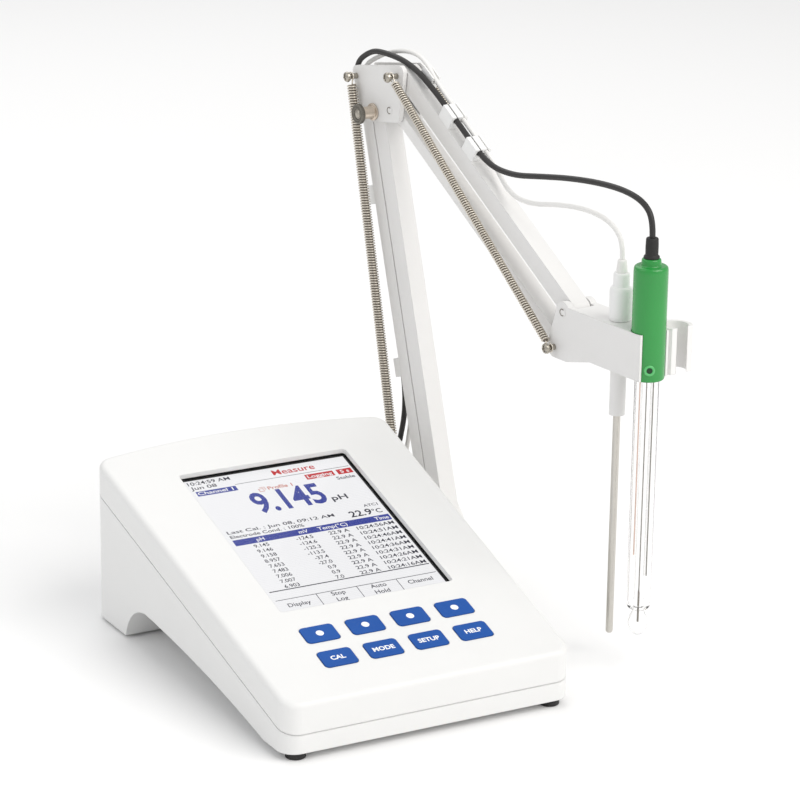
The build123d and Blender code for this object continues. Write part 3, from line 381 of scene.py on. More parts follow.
# ---- leads ----
def besideBar(start, end, reach, rise, lane):    # reach along a bar from its start, rise off its middle line
    run = (end[0] - start[0], end[1] - start[1])
    length = hypot(*run)
    along = (run[0] / length, run[1] / length)
    return armAt(start[0] + along[0] * reach - along[1] * rise, lane, start[1] + along[1] * reach + along[0] * rise)


def overArm(reach, height, lane):
    return besideBar(arm["upper"], arm["upperTip"], reach, arm["topBarDepth"] / 2 + height, lane)


def behindPost(reach, height, lane):
    return besideBar(arm["rearTop"], arm["rearFoot"], reach, -arm["rearBarDepth"] / 2 - height, lane)


phLead = {
    "radius": 1.5, "finish": blackSheath, "cuts": [4, 9, 12, 17, 21], "stiffness": "medium",
    "route": [
        armAt(arm["probe"], 0, 222.8), armAt(arm["probe"], 0, 231.6), armAt(168, 0, 238.6),
        armAt(154, 0, 241.4), armAt(134, 0, 241), armAt(110, 0, 238.2),
        armAt(88, -0.6, 234.4), armAt(66, -1.4, 230.4),
        overArm(78, 5.6, -2.0), overArm(53, 5.9, -2.0), overArm(17, 5.6, -2.0),
        armAt(-24, -1.8, 272), armAt(-44, -1.7, 273.4), armAt(-58, -1.6, 272.2),
        armAt(-73.5, -1.6, 261.5), behindPost(20, 2.4, -1.6), behindPost(48, 2.4, -1.3),
        behindPost(80, 2.4, -1.6), behindPost(112, 2.4, -0.1), behindPost(140, 2.4, -1.6),
        behindPost(176, 2.4, -1.6),
        armAt(-28, -2.0, 56), armAt(-40, -2.0, 26), armAt(-58, -2.0, 4),
        armAt(-82, -5, 1.7), at(81, 297, 1.7), at(64, 304, 1.7), at(50, 300, 6),
        at(46, 290, 20), at(45.5, 275, 40), at(46, 258, 50.5), at(46, 240.5, 50.5)]}
tempLead = {
    "radius": 1.25, "finish": whiteSheath, "cuts": [4, 9, 12, 17, 21], "stiffness": "medium",
    "route": [
        armAt(arm["thermometer"], 0, 206.8), armAt(arm["thermometer"], 0, 213.6), armAt(148.5, 0, 220.4),
        armAt(139, -0.3, 224.6), armAt(124, -1.2, 226), armAt(104, -2.2, 223.8),
        armAt(84, -2.6, 219.4), armAt(64, -1.2, 220),
        overArm(78, 5.6, 2.4), overArm(53, 5.9, 2.4), overArm(20, 5.6, 2.4),
        armAt(-16, 2.7, 275.5), armAt(-32, 2.6, 276.8), armAt(-53, 2.4, 270.8),
        armAt(-73, 2.4, 259.5), behindPost(20, 2.4, 2.4), behindPost(48, 2.4, 2.7),
        behindPost(80, 2.4, 2.4), behindPost(112, 2.4, 3.9), behindPost(140, 2.4, 2.4),
        behindPost(176, 2.4, 2.4),
        armAt(-26, 2.4, 54), armAt(-38, 2.4, 25), armAt(-56, 2.4, 4),
        armAt(-84, 1, 1.5), at(92, 308, 1.5), at(71, 321, 1.5), at(48, 320, 2),
        at(33, 307, 9), at(27.5, 291, 26), at(26, 270, 44), at(26, 256, 50.5), at(26, 234.5, 50.5)]}
# the two bodies each stretch joins, and the part of its run that takes up the bend (shares of the run)
stretches = {
    "probe": ("electrode", "head", "temp_probe", 0.02, 0.98), "drop": ("head", "top_bar", None, 0.05, 0.62),
    "upper": ("top_bar", "knuckle", None, 0.25, 0.9), "lower": ("knuckle", "rear_bar", None, 0.1, 0.45),
    "foot": ("rear_bar", "arm_base", None, 0.62, 0.97), "table": ("arm_base", "meter", None, 0.02, 0.6)}


def tubeAlong(name, points, radius, resolution, roundness):
    # a smooth tube in metres drawn towards the points, and the line that it follows
    curve = bpy.data.curves.new(name, "CURVE")
    curve.dimensions = "3D"
    curve.resolution_u = resolution
    spline = curve.splines.new("NURBS")
    spline.points.add(len(points) - 1)
    for point, spot in zip(spline.points, points):
        point.co = (*spot, 1)
    spline.order_u = 3
    spline.use_endpoint_u = True
    source = bpy.data.objects.new(name, curve)
    bpy.context.scene.collection.objects.link(source)
    path = [v.co.copy() for v in evaluated(source).vertices]
    curve.bevel_depth = radius * mm
    curve.bevel_resolution = roundness
    curve.use_fill_caps = True
    mesh = evaluated(source)
    bpy.data.objects.remove(source)
    mesh.shade_smooth()
    return mesh, path


def leadStretch(name, points, lead):
    mesh, path = tubeAlong(name, points, lead["radius"], 12, 6)
    tube = newPiece(name, mesh, lead["finish"])
    length = sum((b - a).length for a, b in zip(path, path[1:]))
    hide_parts(name.replace("_tube", ""))
    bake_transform(tube)
    return length


def layLead(prefix, lead):
    route, marks = lead["route"], [0] + lead["cuts"] + [len(lead["route"]) - 1]
    total = 0
    for number, (stretch, (near, far, other, low, high)) in enumerate(stretches.items()):
        first, last = marks[number], marks[number + 1]
        points = list(route[first + 1:last + 1])
        if number == 0:
            points = [route[0]] + points
            near = other if prefix == "temp_lead" else near
        else:
            points = [(route[first] + route[first + 1]) / 2] + points
        if last < len(route) - 1:
            points.append((route[last] + route[last + 1]) / 2)
        total += leadStretch(prefix + "_" + stretch + "_tube", points, lead)
    print(prefix, "length in mm", round(total * 1000))


# ---- display ----
display = {"left": -47.65, "foot": 68.4, "depth": 3.9, "leftShift": 3.39, "topEdge": 121.0, "run": 0.98}


def onDisplay(x, y, lift=0.02):    # x from the left, y down from the top of what shows
    return onSlope(display["left"] + x + display["leftShift"],
                   display["foot"] + display["topEdge"] - (y - 4.5) * display["run"], lift - display["depth"])


def flatText(text, height, weight=0.0, narrow=None, slant=0.0):
    # a word as a thin closed mesh, its baseline on y = 0 and its left edge at x = 0, in metres
    words = bpy.data.curves.new("words", "FONT")
    words.body = text
    words.size = height * mm / 0.73
    words.extrude = 0.01 * mm
    words.offset = weight * mm
    words.shear = slant
    words.resolution_u = 3
    source = bpy.data.objects.new("words", words)
    bpy.context.scene.collection.objects.link(source)
    mesh = evaluated(source)
    bpy.data.objects.remove(source)
    low = min(v.co.x for v in mesh.vertices)
    wide = max(v.co.x for v in mesh.vertices) - low
    squeeze = narrow * mm / wide if narrow else 1.0
    mesh.transform(Matrix.Diagonal((squeeze, 1, 1, 1)) @ Matrix.Translation((-low, 0, 0)))
    return mesh, (narrow * mm if narrow else wide)


def lay(mesh, origin, across, upward):
    # puts a flat mesh on a face: its x along across, its y along upward
    out = across.cross(upward)
    mesh.transform(Matrix.Translation(origin) @ Matrix((across, upward, out)).transposed().to_4x4())
    return mesh


alongFace, upFace = Vector((1, 0, 0)), Vector((0, cos(slope), sin(slope)))


def displayText(text, x, y, height, align="left", **more):
    # x is that of the left end, the middle or the right end, and y that of the baseline
    mesh, wide = flatText(text, height, **more)
    back = {"left": 0, "middle": wide / 2, "right": wide}[align]
    return lay(mesh, onDisplay(x, y, 0.04) - alongFace * back, alongFace, upFace)


def plate(low, high, thickness=0.02):    # a thin closed slab between two corners on the display
    corners = [onDisplay(low[0], low[1]), onDisplay(high[0], low[1]), onDisplay(high[0], high[1]),
               onDisplay(low[0], high[1])]
    out = alongFace.cross(upFace) * thickness * mm
    verts = corners + [c + out for c in corners]
    mesh = bpy.data.meshes.new("plate")
    mesh.from_pydata([tuple(v) for v in verts], [],
                     [(0, 1, 2, 3), (7, 6, 5, 4), (0, 4, 5, 1), (1, 5, 6, 2), (2, 6, 7, 3), (3, 7, 4, 0)])
    return mesh


def onScreen(name, meshes, material):
    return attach(newPiece(name, joined(name, meshes), material), "meter")


rows = [("9.145", "-124.5", "56"), ("9.146", "-124.6", "51"), ("9.158", "-125.3", "46"),
        ("8.957", "-113.5", "41"), ("7.653", "-37.4", "36"), ("7.483", "-27.0", "31"),
        ("7.006", "0.9", "26"), ("7.007", "0.9", "21"), ("6.903", "7.0", "16")]
small = {"weight": 0.04}
darkWords = [
    displayText("10:24:59 AM", 0.4, 8.4, 2.9, narrow=23.6, **small),
    displayText("Jun 08", 0.4, 12.5, 2.9, narrow=14.5, **small),
    displayText("Stable", 78.4, 23.9, 2.6, narrow=10.4, **small),
    displayText("pH", 67.6, 41.0, 4.4, narrow=8.8, weight=0.1),
    displayText("ATC1", 88.6, 50.9, 2.2, "right", narrow=8.0, **small),
    displayText("22.9", 70.0, 57.8, 5.2, narrow=12.4, weight=0.12),
    displayText("°C", 82.9, 57.6, 3.8, narrow=5.2, weight=0.06),
    displayText("Last Cal. : Jun 08, 09:12 AM", 2.0, 54.4, 2.6, narrow=60.0, **small),
    displayText("Electrode Cond. : 100%", 2.0, 58.4, 2.6, narrow=41.0, **small)]
for number, (ph, volts, seconds) in enumerate(rows):
    base = 68.9 + 4.53 * number
    darkWords += [displayText(ph, 18.6, base, 2.8, "right", **small),
                  displayText(volts, 43.2, base, 2.8, "right", **small),
                  displayText("22.9 A", 63.6, base, 2.8, "right", narrow=11.4, **small),
                  displayText("10:24:" + seconds + "AM", 89.2, base, 2.8, "right", narrow=21.0, **small)]
for words, middle, base in (("Display", 11.4, 120.4), ("Stop", 34.0, 117.6), ("Log", 34.0, 122.6),
                            ("Auto", 56.2, 117.6), ("Hold", 56.2, 122.6), ("Channel", 78.8, 119.6)):
    darkWords.append(displayText(words, middle, base, 3.1, "middle", **small))
onScreen("display_dark_words", darkWords, litDark)
onScreen("display_lines", [plate((24.5, 13.2), (89.8, 13.5)), plate((1.0, 105.9), (89.8, 106.6)),
                           plate((1.0, 113.6), (89.8, 114.0))]
         + [plate((x, 113.9), (x + 0.35, 124.0)) for x in (22.6, 45.0, 67.1)], litDark)
onScreen("display_blue_words", [displayText("9.145", 26.0, 41.0, 18.0, narrow=39.6, weight=0.55)], litBlue)
onScreen("display_blue_bands", [plate((1.6, 14.4), (24.0, 18.6)), plate((1.8, 59.9), (89.8, 65.0))], litBlue)
onScreen("display_red_words", [displayText("Measure", 47.6, 11.0, 4.6, narrow=24.0, weight=0.06)], litRed)
badge = [plate((34.2, 20.6), (36.9, 20.9)), plate((34.2, 23.0), (36.9, 23.3)), plate((34.2, 20.6), (34.5, 23.3)),
         plate((36.6, 20.6), (36.9, 23.3)), plate((35.4, 19.4), (38.1, 19.7)), plate((37.8, 19.4), (38.1, 22.1))]
onScreen("display_profile_words", badge + [displayText("Profile 1", 39.4, 22.6, 2.9, narrow=13.8, **small)],
         litOrange)
onScreen("display_red_bands", [plate((63.0, 15.1), (79.2, 19.6)), plate((81.2, 15.1), (89.8, 19.6))], litRed)
onScreen("display_white_words", [
    displayText("Channel 1", 2.2, 17.6, 2.7, narrow=19.8, weight=0.06),
    displayText("Logging", 64.0, 18.5, 2.7, narrow=14.2, weight=0.06),
    displayText("5 s", 83.0, 18.5, 2.7, narrow=5.0, weight=0.06),
    displayText("pH", 16.2, 63.7, 2.8, "middle", weight=0.06),
    displayText("mV", 40.2, 63.7, 2.8, "middle", weight=0.06),
    displayText("Temp(°C)", 48.4, 63.7, 2.8, narrow=16.6, weight=0.06),
    displayText("Time", 88.8, 63.7, 2.8, "right", weight=0.06)], litWhite)
print("display laid out")

# ---- key legends ----
keyPrint = {"rows": (47.4, 27.8), "pitch": 24.6, "proud": 0.5, "height": 3.0, "dot": 2.0}
keyWords = ("CAL", "MODE", "SETUP", "HELP")
for number, (word, node) in enumerate(zip(keyWords, ("cal_key", "mode_key", "setup_key", "help_key"))):
    across = (number - 1.5) * keyPrint["pitch"]
    mesh, wide = flatText(word, keyPrint["height"], weight=0.13)
    lay(mesh, onSlope(across, keyPrint["rows"][1] - keyPrint["height"] / 2, keyPrint["proud"] + 0.012)
        - alongFace * wide / 2, alongFace, upFace)
    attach(newPiece("legend_" + node, mesh, legendInk), node)
    softKey = "soft_key_" + str(number + 1)
    dot = turnedMesh("legend_" + softKey, [(0, 0), (keyPrint["dot"], 0), (keyPrint["dot"], 0.022), (0, 0.022)],
                     onSlope(across, keyPrint["rows"][0], keyPrint["proud"]), alongFace.cross(upFace), 32)
    dot.shade_flat()
    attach(newPiece("legend_" + softKey, dot, legendInk), softKey)
print("key legends laid out")


# ---- geometry nodes ----
def startTree(name, sizes):
    tree = bpy.data.node_groups.new(name, "GeometryNodeTree")
    tree.interface.new_socket("Geometry", in_out="INPUT", socket_type="NodeSocketGeometry")
    ids = {}
    for label, kind in sizes.items():
        ids[label] = tree.interface.new_socket(label, in_out="INPUT", socket_type="NodeSocket" + kind).identifier
    tree.interface.new_socket("Geometry", in_out="OUTPUT", socket_type="NodeSocketGeometry")
    return tree, ids, addNode(tree, "NodeGroupInput")


def finishTree(tree, geometry, material):
    real = addNode(tree, "GeometryNodeRealizeInstances", {"Geometry": geometry})
    made = addNode(tree, "GeometryNodeSetMaterial", {"Geometry": real.outputs["Geometry"], "Material": material})
    addNode(tree, "NodeGroupOutput", {"Geometry": made.outputs["Geometry"]})


def runTree(name, tree, ids, values):
    base = bpy.data.objects.new(name, bpy.data.meshes.new(name))
    bpy.context.scene.collection.objects.link(base)
    modifier = base.modifiers.new("make", "NODES")
    modifier.node_group = tree
    for label, value in values.items():
        modifier[ids[label]] = value
    mesh = evaluated(base)
    bpy.data.objects.remove(base)
    mesh.name = name
    return mesh


# a close-wound coil along z, from 0 to its length
coilTree, coilIds, coilIn = startTree("close-wound coil", {
    "Turns": "Float", "Length": "Float", "Coil Radius": "Float", "Wire Radius": "Float"})
helix = addNode(coilTree, "GeometryNodeCurveSpiral", {
    "Resolution": 14, "Rotations": coilIn.outputs["Turns"], "Start Radius": coilIn.outputs["Coil Radius"],
    "End Radius": coilIn.outputs["Coil Radius"], "Height": coilIn.outputs["Length"]})
wire = addNode(coilTree, "GeometryNodeCurvePrimitiveCircle", {
    "Resolution": 6, "Radius": coilIn.outputs["Wire Radius"]}, mode="RADIUS")
coilBody = addNode(coilTree, "GeometryNodeCurveToMesh", {
    "Curve": helix.outputs["Curve"], "Profile Curve": wire.outputs["Curve"], "Fill Caps": True})
coilSmooth = addNode(coilTree, "GeometryNodeSetShadeSmooth", {"Geometry": coilBody.outputs["Mesh"]})
finishTree(coilTree, coilSmooth.outputs["Geometry"], springWire)

# ridges standing round an axis, for knurled rims and gripped sleeves
ridgeTree, ridgeIds, ridgeIn = startTree("ridges round a rim", {
    "Count": "Int", "Rim Radius": "Float", "Ridge Size": "Vector"})
ring = addNode(ridgeTree, "GeometryNodeMeshCircle", {
    "Vertices": ridgeIn.outputs["Count"], "Radius": ridgeIn.outputs["Rim Radius"]})
ridge = addNode(ridgeTree, "GeometryNodeMeshCube", {"Size": ridgeIn.outputs["Ridge Size"]})
spot = addNode(ridgeTree, "GeometryNodeInputPosition")
facing = addNode(ridgeTree, "FunctionNodeAlignRotationToVector", {"Vector": spot.outputs["Position"]}, axis="X")
spread = addNode(ridgeTree, "GeometryNodeInstanceOnPoints", {
    "Points": ring.outputs["Mesh"], "Instance": ridge.outputs["Mesh"], "Rotation": facing.outputs["Rotation"]})
finishTree(ridgeTree, spread.outputs["Instances"], nickel)


def standAlong(mesh, origin, axis):    # turns a mesh made along z, and puts its foot at the origin
    axis = axis.normalized()
    side = (armRight if abs(axis.dot(armRight)) < 0.9 else up).cross(axis).normalized()
    mesh.transform(Matrix.Translation(origin) @ Matrix((side, axis.cross(side), axis)).transposed().to_4x4())
    return mesh


def ridges(name, count, radius, size, origin, axis):
    return standAlong(runTree(name, ridgeTree, ridgeIds, {
        "Count": count, "Rim Radius": radius * mm, "Ridge Size": [s * mm for s in size]}), origin, axis)


# ---- springs ----
# the coils are drawn a little coarser than real ones, so that they show
spring = {"offset": 11.6, "lowerRadius": 2.4, "upperRadius": 1.8, "wireRadius": 0.44, "pitch": 1.4, "trim": 4.4,
          "hookRadius": 2.2}
# a dark core inside each coil, painted in as the shade seen through the gaps between the turns
coilShadeCore = speckled("painted shade inside a coil", "#8C8379", "#766D63", 0.7, 0.5, 0.01)


def wireMesh(name, points, radius):
    return tubeAlong(name, points, radius, 6, 2)[0]


def makeSpring(name, start, end, side, radius):
    s0, z0 = start
    s1, z1 = end
    length = hypot(s1 - s0, z1 - z0)
    away = ((s1 - s0) / length, (z1 - z0) / length)
    w = side * spring["offset"]
    run = length - 2 * spring["trim"]
    coil = runTree(name, coilTree, coilIds, {
        "Turns": run / spring["pitch"], "Length": run * mm, "Coil Radius": radius * mm,
        "Wire Radius": spring["wireRadius"] * mm})
    foot = armAt(s0 + away[0] * spring["trim"], w, z0 + away[1] * spring["trim"])
    direction = armForward * away[0] + up * away[1]
    meshes = [standAlong(coil, foot, direction)]
    for (s, z), sign in (((s0, z0), 1), ((s1, z1), -1)):    # the hook round each screw
        along = (away[0] * sign, away[1] * sign)
        points = []
        for i in range(11):
            turn = radians(-150 + 30 * i)
            points.append(armAt(s + spring["hookRadius"] * (cos(turn) * -along[0] - sin(turn) * along[1]), w,
                                z + spring["hookRadius"] * (cos(turn) * -along[1] + sin(turn) * along[0])))
        for reach in (3.6, 5.2, spring["trim"] + 0.6):
            points.append(armAt(s + along[0] * reach - along[1] * 0.6 * (6 - reach) / 3, w,
                                z + along[1] * reach + along[0] * 0.6 * (6 - reach) / 3))
        meshes.append(wireMesh("hook", points, spring["wireRadius"]))
    piece = newPiece(name, joined(name, meshes), springWire)
    piece.data.shade_smooth()
    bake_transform(piece)
    # the dark core inside the coil is painted shade, seen between the turns
    rings = [(radius - spring["wireRadius"] - 0.02, run * i / 60) for i in range(61)]
    core = newPiece(name + "_core", turnedMesh("core", [(0, 0)] + rings + [(0, run)], foot, direction, 16),
                    coilShadeCore)
    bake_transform(core)
    return piece


for side, label in ((1, "right"), (-1, "left")):
    lower = makeSpring("lower_spring_" + label, arm["springFoot"], arm["rearTop"], side,
                       spring["lowerRadius"])
    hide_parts("lower_springs")
    upper = makeSpring("upper_spring_" + label, arm["upper"], arm["underTip"], side,
                       spring["upperRadius"])
    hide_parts("upper_springs")
print("springs wound")


# ---- screws, pins and knobs ----
screws = {"pin": 1.5, "head": 2.8, "dome": 1.8, "baseHead": 2.6, "slotWidth": 0.7, "slotDepth": 0.8}


def crossSlot(mesh, origin, axis, reach):    # cuts a cross recess into a head whose top is at the origin
    axis = axis.normalized()
    side = (armForward + up * 0.35).normalized()
    side = (side - axis * side.dot(axis)).normalized()
    other = axis.cross(side)
    cutter = bmesh.new()
    for along, across in ((side, other), (other, side)):
        corners = []
        for depth in (-screws["slotDepth"], 1.0):
            for a, b in ((-1, -1), (1, -1), (1, 1), (-1, 1)):
                corners.append(cutter.verts.new(origin + axis * depth * mm + along * a * reach * mm
                                                + across * b * screws["slotWidth"] / 2 * mm))
        for face in ((3, 2, 1, 0), (4, 5, 6, 7), (0, 1, 5, 4), (1, 2, 6, 5), (2, 3, 7, 6), (3, 0, 4, 7)):
            cutter.faces.new([corners[i] for i in face])
    bmesh.ops.recalc_face_normals(cutter, faces=cutter.faces)
    cutMesh = bpy.data.meshes.new("cut")
    cutter.to_mesh(cutMesh)
    cutter.free()
    cut = bpy.data.objects.new("cut", cutMesh)
    head = bpy.data.objects.new("head", mesh)
    for piece in (cut, head):
        bpy.context.scene.collection.objects.link(piece)
    boolean = head.modifiers.new("slot", "BOOLEAN")
    boolean.operation = "DIFFERENCE"
    boolean.solver = "EXACT"
    boolean.use_self = True
    boolean.object = cut
    result = evaluated(head)
    for piece in (cut, head):
        bpy.data.objects.remove(piece)
    return result


def crossPin(spot, reach, headRadius, headLength, pin=screws["pin"], slots=True):
    # a pin right across the arm with a domed head at each end
    s, z = spot
    middle = armAt(s, 0, z)
    half = [(0, headLength), (headRadius * 0.55, headLength * 0.93), (headRadius * 0.88, headLength * 0.62),
            (headRadius, headLength * 0.18), (headRadius, 0), (pin, 0)]
    profile = [(r, -reach - h) for r, h in half] + [(r, reach + h) for r, h in reversed(half)]
    mesh = turnedMesh("pin", profile, middle, armRight, 32)
    if slots:
        for sign in (-1, 1):
            mesh = crossSlot(mesh, middle + armRight * sign * (reach + headLength) * mm, armRight * sign,
                             headRadius * 0.6)
    return mesh


def metalwork(name, meshes, node, body, material=nickel):
    piece = newPiece(name, joined(name, meshes), material)
    piece.data.set_sharp_from_angle(angle=radians(35))
    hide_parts(node)
    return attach(piece, body)


reach = arm["screwReach"]
cheek = arm["cheekOuter"]
knurledSteel = brushed("turned and knurled steel, nickel plated", "#8F8B83", "#5E5A53", 0.30, 0.2, along=(6, 6, 1))
warmBush = brushed("turned nickel silver", "#E2D6C8", "#C2B4A3", 0.28, 0.3, along=(1, 1, 6))
knob = {"radius": 5.4, "neck": 3.4, "bore": 2.6, "stand": 8.5, "disc": 2.4, "ridges": 40}
boltEnd = cheek + knob["stand"] + knob["disc"] - 0.5
head, dome, baseHead = screws["head"], screws["dome"], screws["baseHead"]
metalwork("knuckle_pins", [crossPin(arm["rearTop"], reach, head, dome), crossPin(arm["upper"], reach, head, dome),
                           crossPin(arm["frontTop"], boltEnd, 2.1, 0.6, 2.5, slots=False)],
          "knuckle_screws", "knuckle")
metalwork("base_pivot_pins", [crossPin(arm["frontFoot"], cheek + 0.1, baseHead, 1.2),
                              crossPin(arm["rearFoot"], cheek + 0.1, baseHead, 1.2),
                              crossPin(arm["springFoot"], reach, head, 1.6)], "base_pins", "arm_base")
metalwork("head_pivot_pins", [crossPin(arm["underTip"], reach, head, dome)], "head_pins", "head")
# the two plain pivots are moulded pins, each held by an open wire ring in its end
openRing = {"radius": 1.7, "wire": 0.3, "opening": 110}
for name, spot, face, body in (("under_pivot", "under", cheek, "knuckle"), ("head_pivot", "upperTip", 9.0, "head")):
    pin = newPiece(name + "_pin", crossPin(arm[spot], face, 2.4, 0.4, slots=False), armNylon)
    pin.data.set_sharp_from_angle(angle=radians(35))
    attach(pin, body)
    rings = []
    for sign in (-1, 1):
        turns = [radians(openRing["opening"] / 2 + i * (360 - openRing["opening"]) / 12) for i in range(13)]
        rings.append(wireMesh("ring", [armAt(arm[spot][0] + openRing["radius"] * cos(a), sign * (face + 0.3),
                                             arm[spot][1] + openRing["radius"] * sin(a)) for a in turns],
                              openRing["wire"]))
    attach(newPiece(name + "_ring", joined(name, rings), silverWire), body)
for name, side in (("knob_left", -1), ("knob_right", 1)):
    axis = armRight * side
    origin = armAt(arm["frontTop"][0], 0, arm["frontTop"][1])
    start, face = cheek + 0.2, cheek + knob["stand"]
    top, wide = face + knob["disc"], knob["radius"] - 0.2
    neck, bore = knob["neck"], knob["bore"]
    profile = [(bore, face), (4.4, face), (wide, face + 0.4), (wide, top - 0.4), (wide - 0.4, top), (4.3, top),
               (4.15, top - 0.4), (3.8, top - 0.4), (3.65, top), (3.0, top), (2.8, top - 0.5), (bore, top - 0.5),
               (bore, face)]
    disc = turnedMesh("disc", softened(profile, 0.15, 3), origin, axis, 64)
    rim = ridges("rim", knob["ridges"], wide - 0.08, (0.55, 0.42, knob["disc"] - 1.0),
                 origin + axis * (face + top) / 2 * mm, axis)
    metalwork(name + "_knurled", [disc, rim], name, name, knurledSteel)
    turnedPiece(name + "_stalk", [
        (bore, start), (4.6, start), (4.6, start + 1.0), (3.6, start + 1.2), (neck, start + 1.4),
        (3.2, face - 1.5), (neck, face - 0.05), (bore, face - 0.05), (bore, start)],
        origin, axis, warmBush, name, 0.25, 64)
print("screws and knobs made")

# ---- electrode ----
electrode = {"cap": 8.5, "capBottom": 152.0, "capTop": 209.0, "neckTop": 212.5, "reliefTop": 222.8,
             "glass": 6.0, "wall": 0.9, "glassTop": 157.6, "wireTop": 157.4, "hole": 158.2}
electrodeFoot = armAt(arm["probe"], 0, 0)
capRadius, capLow, capHigh, neckTop = (electrode[size] for size in ("cap", "capBottom", "capTop", "neckTop"))
reliefTop, glass, glassTop, wireTop = (electrode[size] for size in ("reliefTop", "glass", "glassTop", "wireTop"))
bore = glass - electrode["wall"]


def upright(name, profile, foot, material, body, radius=0.4, segments=64):
    return turnedPiece(name, profile, foot, up, material, body, radius, segments)


cap = upright("electrode_cap", [
    (0, capLow + 6), (glass + 0.05, capLow + 6), (glass + 0.05, capLow + 0.1), (6.5, capLow),
    (capRadius - 0.3, capLow), (capRadius - 0.05, capLow + 0.6), (capRadius, capHigh - 2.6),
    (capRadius - 0.2, capHigh - 0.8), (7.4, capHigh), (5.3, capHigh), (5.0, capHigh + 0.6),
    (4.75, neckTop - 0.5), (4.3, neckTop), (0, neckTop)], electrodeFoot, capGreen, "electrode", 0.8)
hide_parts("ph_cap")
holeFacing = Vector((-0.44, -0.9, 0)).normalized()
holeSpot = electrodeFoot + holeFacing * capRadius * mm + up * electrode["hole"] * mm
# the refill ring is the cap's green PEI painted lighter, as a painted highlight along the rim
rimHighlightGreen = speckled("moulded green PEI, rim with painted highlight", "#5CBF70", "#4DB263", 0.28, 0.5, 0.008, edge=0.2, IOR=1.6)
turnedPiece("refill_ring", [(1.45, -0.8), (2.7, -0.8), (2.75, 0.15), (2.3, 0.45), (1.75, 0.45), (1.45, 0.1),
                            (1.45, -0.8)], holeSpot, holeFacing, rimHighlightGreen, "electrode", 0.2, 32)
plugGreen = speckled("moulded dark green silicone", "#12401F", "#0B3016", 0.5, 0.4, 0.01, edge=0.1)
turnedPiece("refill_plug", [(0, -0.8), (1.5, -0.8), (1.5, 0.1), (0.9, 0.16), (0, 0.12)], holeSpot, holeFacing,
            plugGreen, "electrode", 0.2, 24)
relief = upright("electrode_relief", [
    (0, neckTop), (3.8, neckTop), (3.95, neckTop + 0.5), (3.9, neckTop + 1.2), (3.3, neckTop + 1.6),
    (3.15, neckTop + 2.0), (3.2, neckTop + 5.5), (3.05, reliefTop - 0.5), (2.7, reliefTop), (0, reliefTop)],
    electrodeFoot, blackRubber, "electrode", 0.3)
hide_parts("ph_relief")
outer = upright("electrode_glass", [
    (0, 17.2), (2.4, 17.9), (4.4, 20.4), (5.2, 23.4), (4.7, 26.2), (3.5, 28.6), (2.9, 30.0), (3.1, 31.0),
    (5.2, 32.0), (glass - 0.1, 33.6), (glass, 35.0), (glass, glassTop), (bore, glassTop), (bore, 35.0), (4.6, 33.6),
    (2.4, 33.0), (2.2, 30.4), (2.9, 28.6), (4.1, 26.0), (4.6, 23.4), (3.9, 20.8), (2.1, 18.6), (0, 18.0)],
    electrodeFoot, tubeGlass, "electrode", 1.2)
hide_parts("ph_glass")
inner = upright("electrode_inner_tube", [
    (2.05, 36.0), (2.5, 36.4), (2.6, 38.0), (2.6, wireTop), (2.0, wireTop), (2.0, 38.0), (2.05, 36.0)],
    electrodeFoot, bulbGlass, "electrode", 0.4, 40)
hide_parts("ph_core")
upright("electrode_wire", [
    (0, 24.0), (0.45, 24.0), (0.5, 24.4), (0.5, 40.0), (0.28, 41.0), (0.28, wireTop), (0, wireTop)],
    electrodeFoot, silverWire, "electrode", 0.3, 20)
copperTint = brushed("tinned copper wire", "#E9CFC2", "#CFAE9E", 0.35, 0.3)
for name, offset, foot, material in (("reference_wire", (3.55, -0.8), 60.0, copperTint),
                                     ("reference_element", (-3.4, 1.2), 48.0, silverWire)):
    spot = electrodeFoot + (armForward * offset[1] - armRight * offset[0]) * mm
    upright(name, [(0, foot), (0.32, foot + 0.3), (0.32, wireTop), (0, wireTop)], spot, material, "electrode",
            0.2, 16)
print("electrode made")

# ---- temperature probe ----
probe = {"handle": 5.7, "handleLow": 176.1, "handleTop": 200.3, "reliefTop": 206.8, "stem": 1.85, "tip": 10.8}
probeFoot = armAt(arm["thermometer"], 0, 0)
grip, gripLow, gripTop, stemRadius = (probe[size] for size in ("handle", "handleLow", "handleTop", "stem"))
handle = upright("probe_handle", [
    (0, gripLow + 10), (stemRadius + 0.1, gripLow + 10), (stemRadius + 0.1, gripLow + 0.2), (2.4, gripLow),
    (grip - 0.5, gripLow), (grip - 0.3, gripLow + 0.3), (grip - 0.2, gripLow + 1.5), (grip, gripLow + 1.9),
    (grip, gripTop - 8.9), (grip - 0.5, gripTop - 7.5), (4.3, gripTop - 7.1), (4.1, gripTop - 6.3),
    (4.1, gripTop - 1.1), (3.7, gripTop), (0, gripTop)], probeFoot, whitePolymer, "temp_probe", 0.6)
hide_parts("temp_handle")
boot = upright("probe_relief", [
    (0, gripTop), (2.75, gripTop), (2.8, gripTop + 0.5), (2.75, gripTop + 1.7), (2.5, gripTop + 3.5),
    (2.3, probe["reliefTop"] - 0.8), (1.9, probe["reliefTop"]), (0, probe["reliefTop"])],
    probeFoot, whiteSheath, "temp_probe", 0.4)
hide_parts("temp_relief")
stem = upright("probe_stem", [
    (0, probe["tip"]), (1.1, probe["tip"] + 0.1), (1.7, probe["tip"] + 0.7), (stemRadius, probe["tip"] + 1.6),
    (stemRadius, gripLow + 9.9), (0, gripLow + 9.9)], probeFoot, stainless, "temp_probe", 0.5, 48)
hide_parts("temp_stem")
print("temperature probe made")

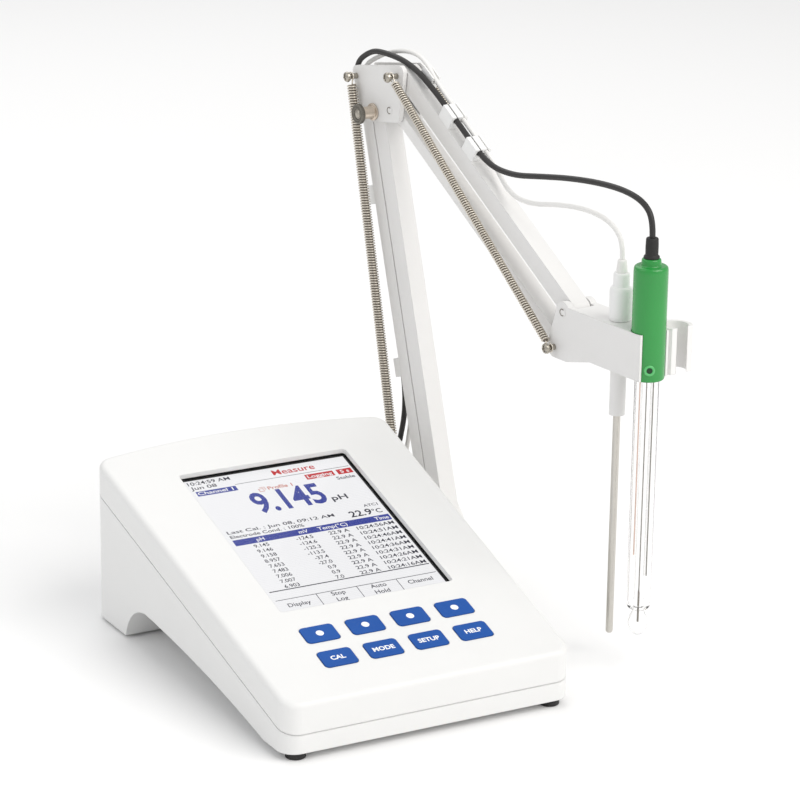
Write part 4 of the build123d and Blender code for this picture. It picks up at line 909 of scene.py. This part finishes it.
# ---- plugs and sockets ----
plugs = {"coaxial": 46.0, "temperature": 26.0, "knurls": 28}
backward = Vector((0, 1, 0))


def panelAt(x, out=0.0):
    return at(x, case["panelFace"] + out, case["panelMiddle"])


def reliefRings(radius, foot, taper, pitch, groove):    # five rings of a bend relief, each smaller than the last
    return [(radius - taper * i + drop, foot + pitch * i + rise) for i in range(5)
            for drop, rise in ((0, 0), (-groove, 0.3), (-groove, 0.8), (-0.1, 1.1))]


sleeve = turnedPiece("coaxial_plug_sleeve", [
    (4.95, 2.2), (6.6, 2.2), (6.9, 2.8), (6.9, 8.0), (6.3, 8.6), (6.3, 9.4), (6.9, 10.0), (6.9, 15.4), (6.3, 16.2),
    (4.95, 16.2), (4.95, 2.2)], panelAt(plugs["coaxial"]), backward, nickel, "meter", 0.3, 64)
sleeveGrip = newPiece("coaxial_plug_grip", ridges("grip", plugs["knurls"], 6.72, (0.5, 0.8, 4.6),
                                                  panelAt(plugs["coaxial"], 12.7), backward), nickel)
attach(sleeveGrip, "meter")
phBoot = turnedPiece("coaxial_plug_boot", [
    (0, 13.2), (4.8, 13.2), (4.8, 16.3), (5.6, 16.4), (5.7, 20.0), (4.6, 25.6), (4.2, 26.0)]
    + reliefRings(3.9, 26.6, 0.32, 1.6, 0.4) + [(2.2, 34.4), (1.9, 35.0), (0, 35.0)],
    panelAt(plugs["coaxial"]), backward, blackRubber, "meter", 0.2, 48)
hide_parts("ph_plug")
tempPlug = turnedPiece("temperature_plug_body", [
    (2.3, 2.1), (4.9, 2.1), (5.2, 2.6), (5.2, 6.6), (4.8, 7.0), (4.8, 7.6), (5.2, 8.0), (5.2, 16.0), (4.4, 19.6),
    (3.6, 20.2)] + reliefRings(3.4, 20.8, 0.3, 1.5, 0.35)
    + [(1.9, 28.4), (1.6, 29.0), (0, 29.0), (0, 14.0), (2.3, 13.0), (2.3, 2.1)],
    panelAt(plugs["temperature"]), backward, whiteSheath, "meter", 0.2, 48)
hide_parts("temp_plug")
print("plugs made")

layLead("ph_lead", phLead)
layLead("temp_lead", tempLead)
print("leads laid")
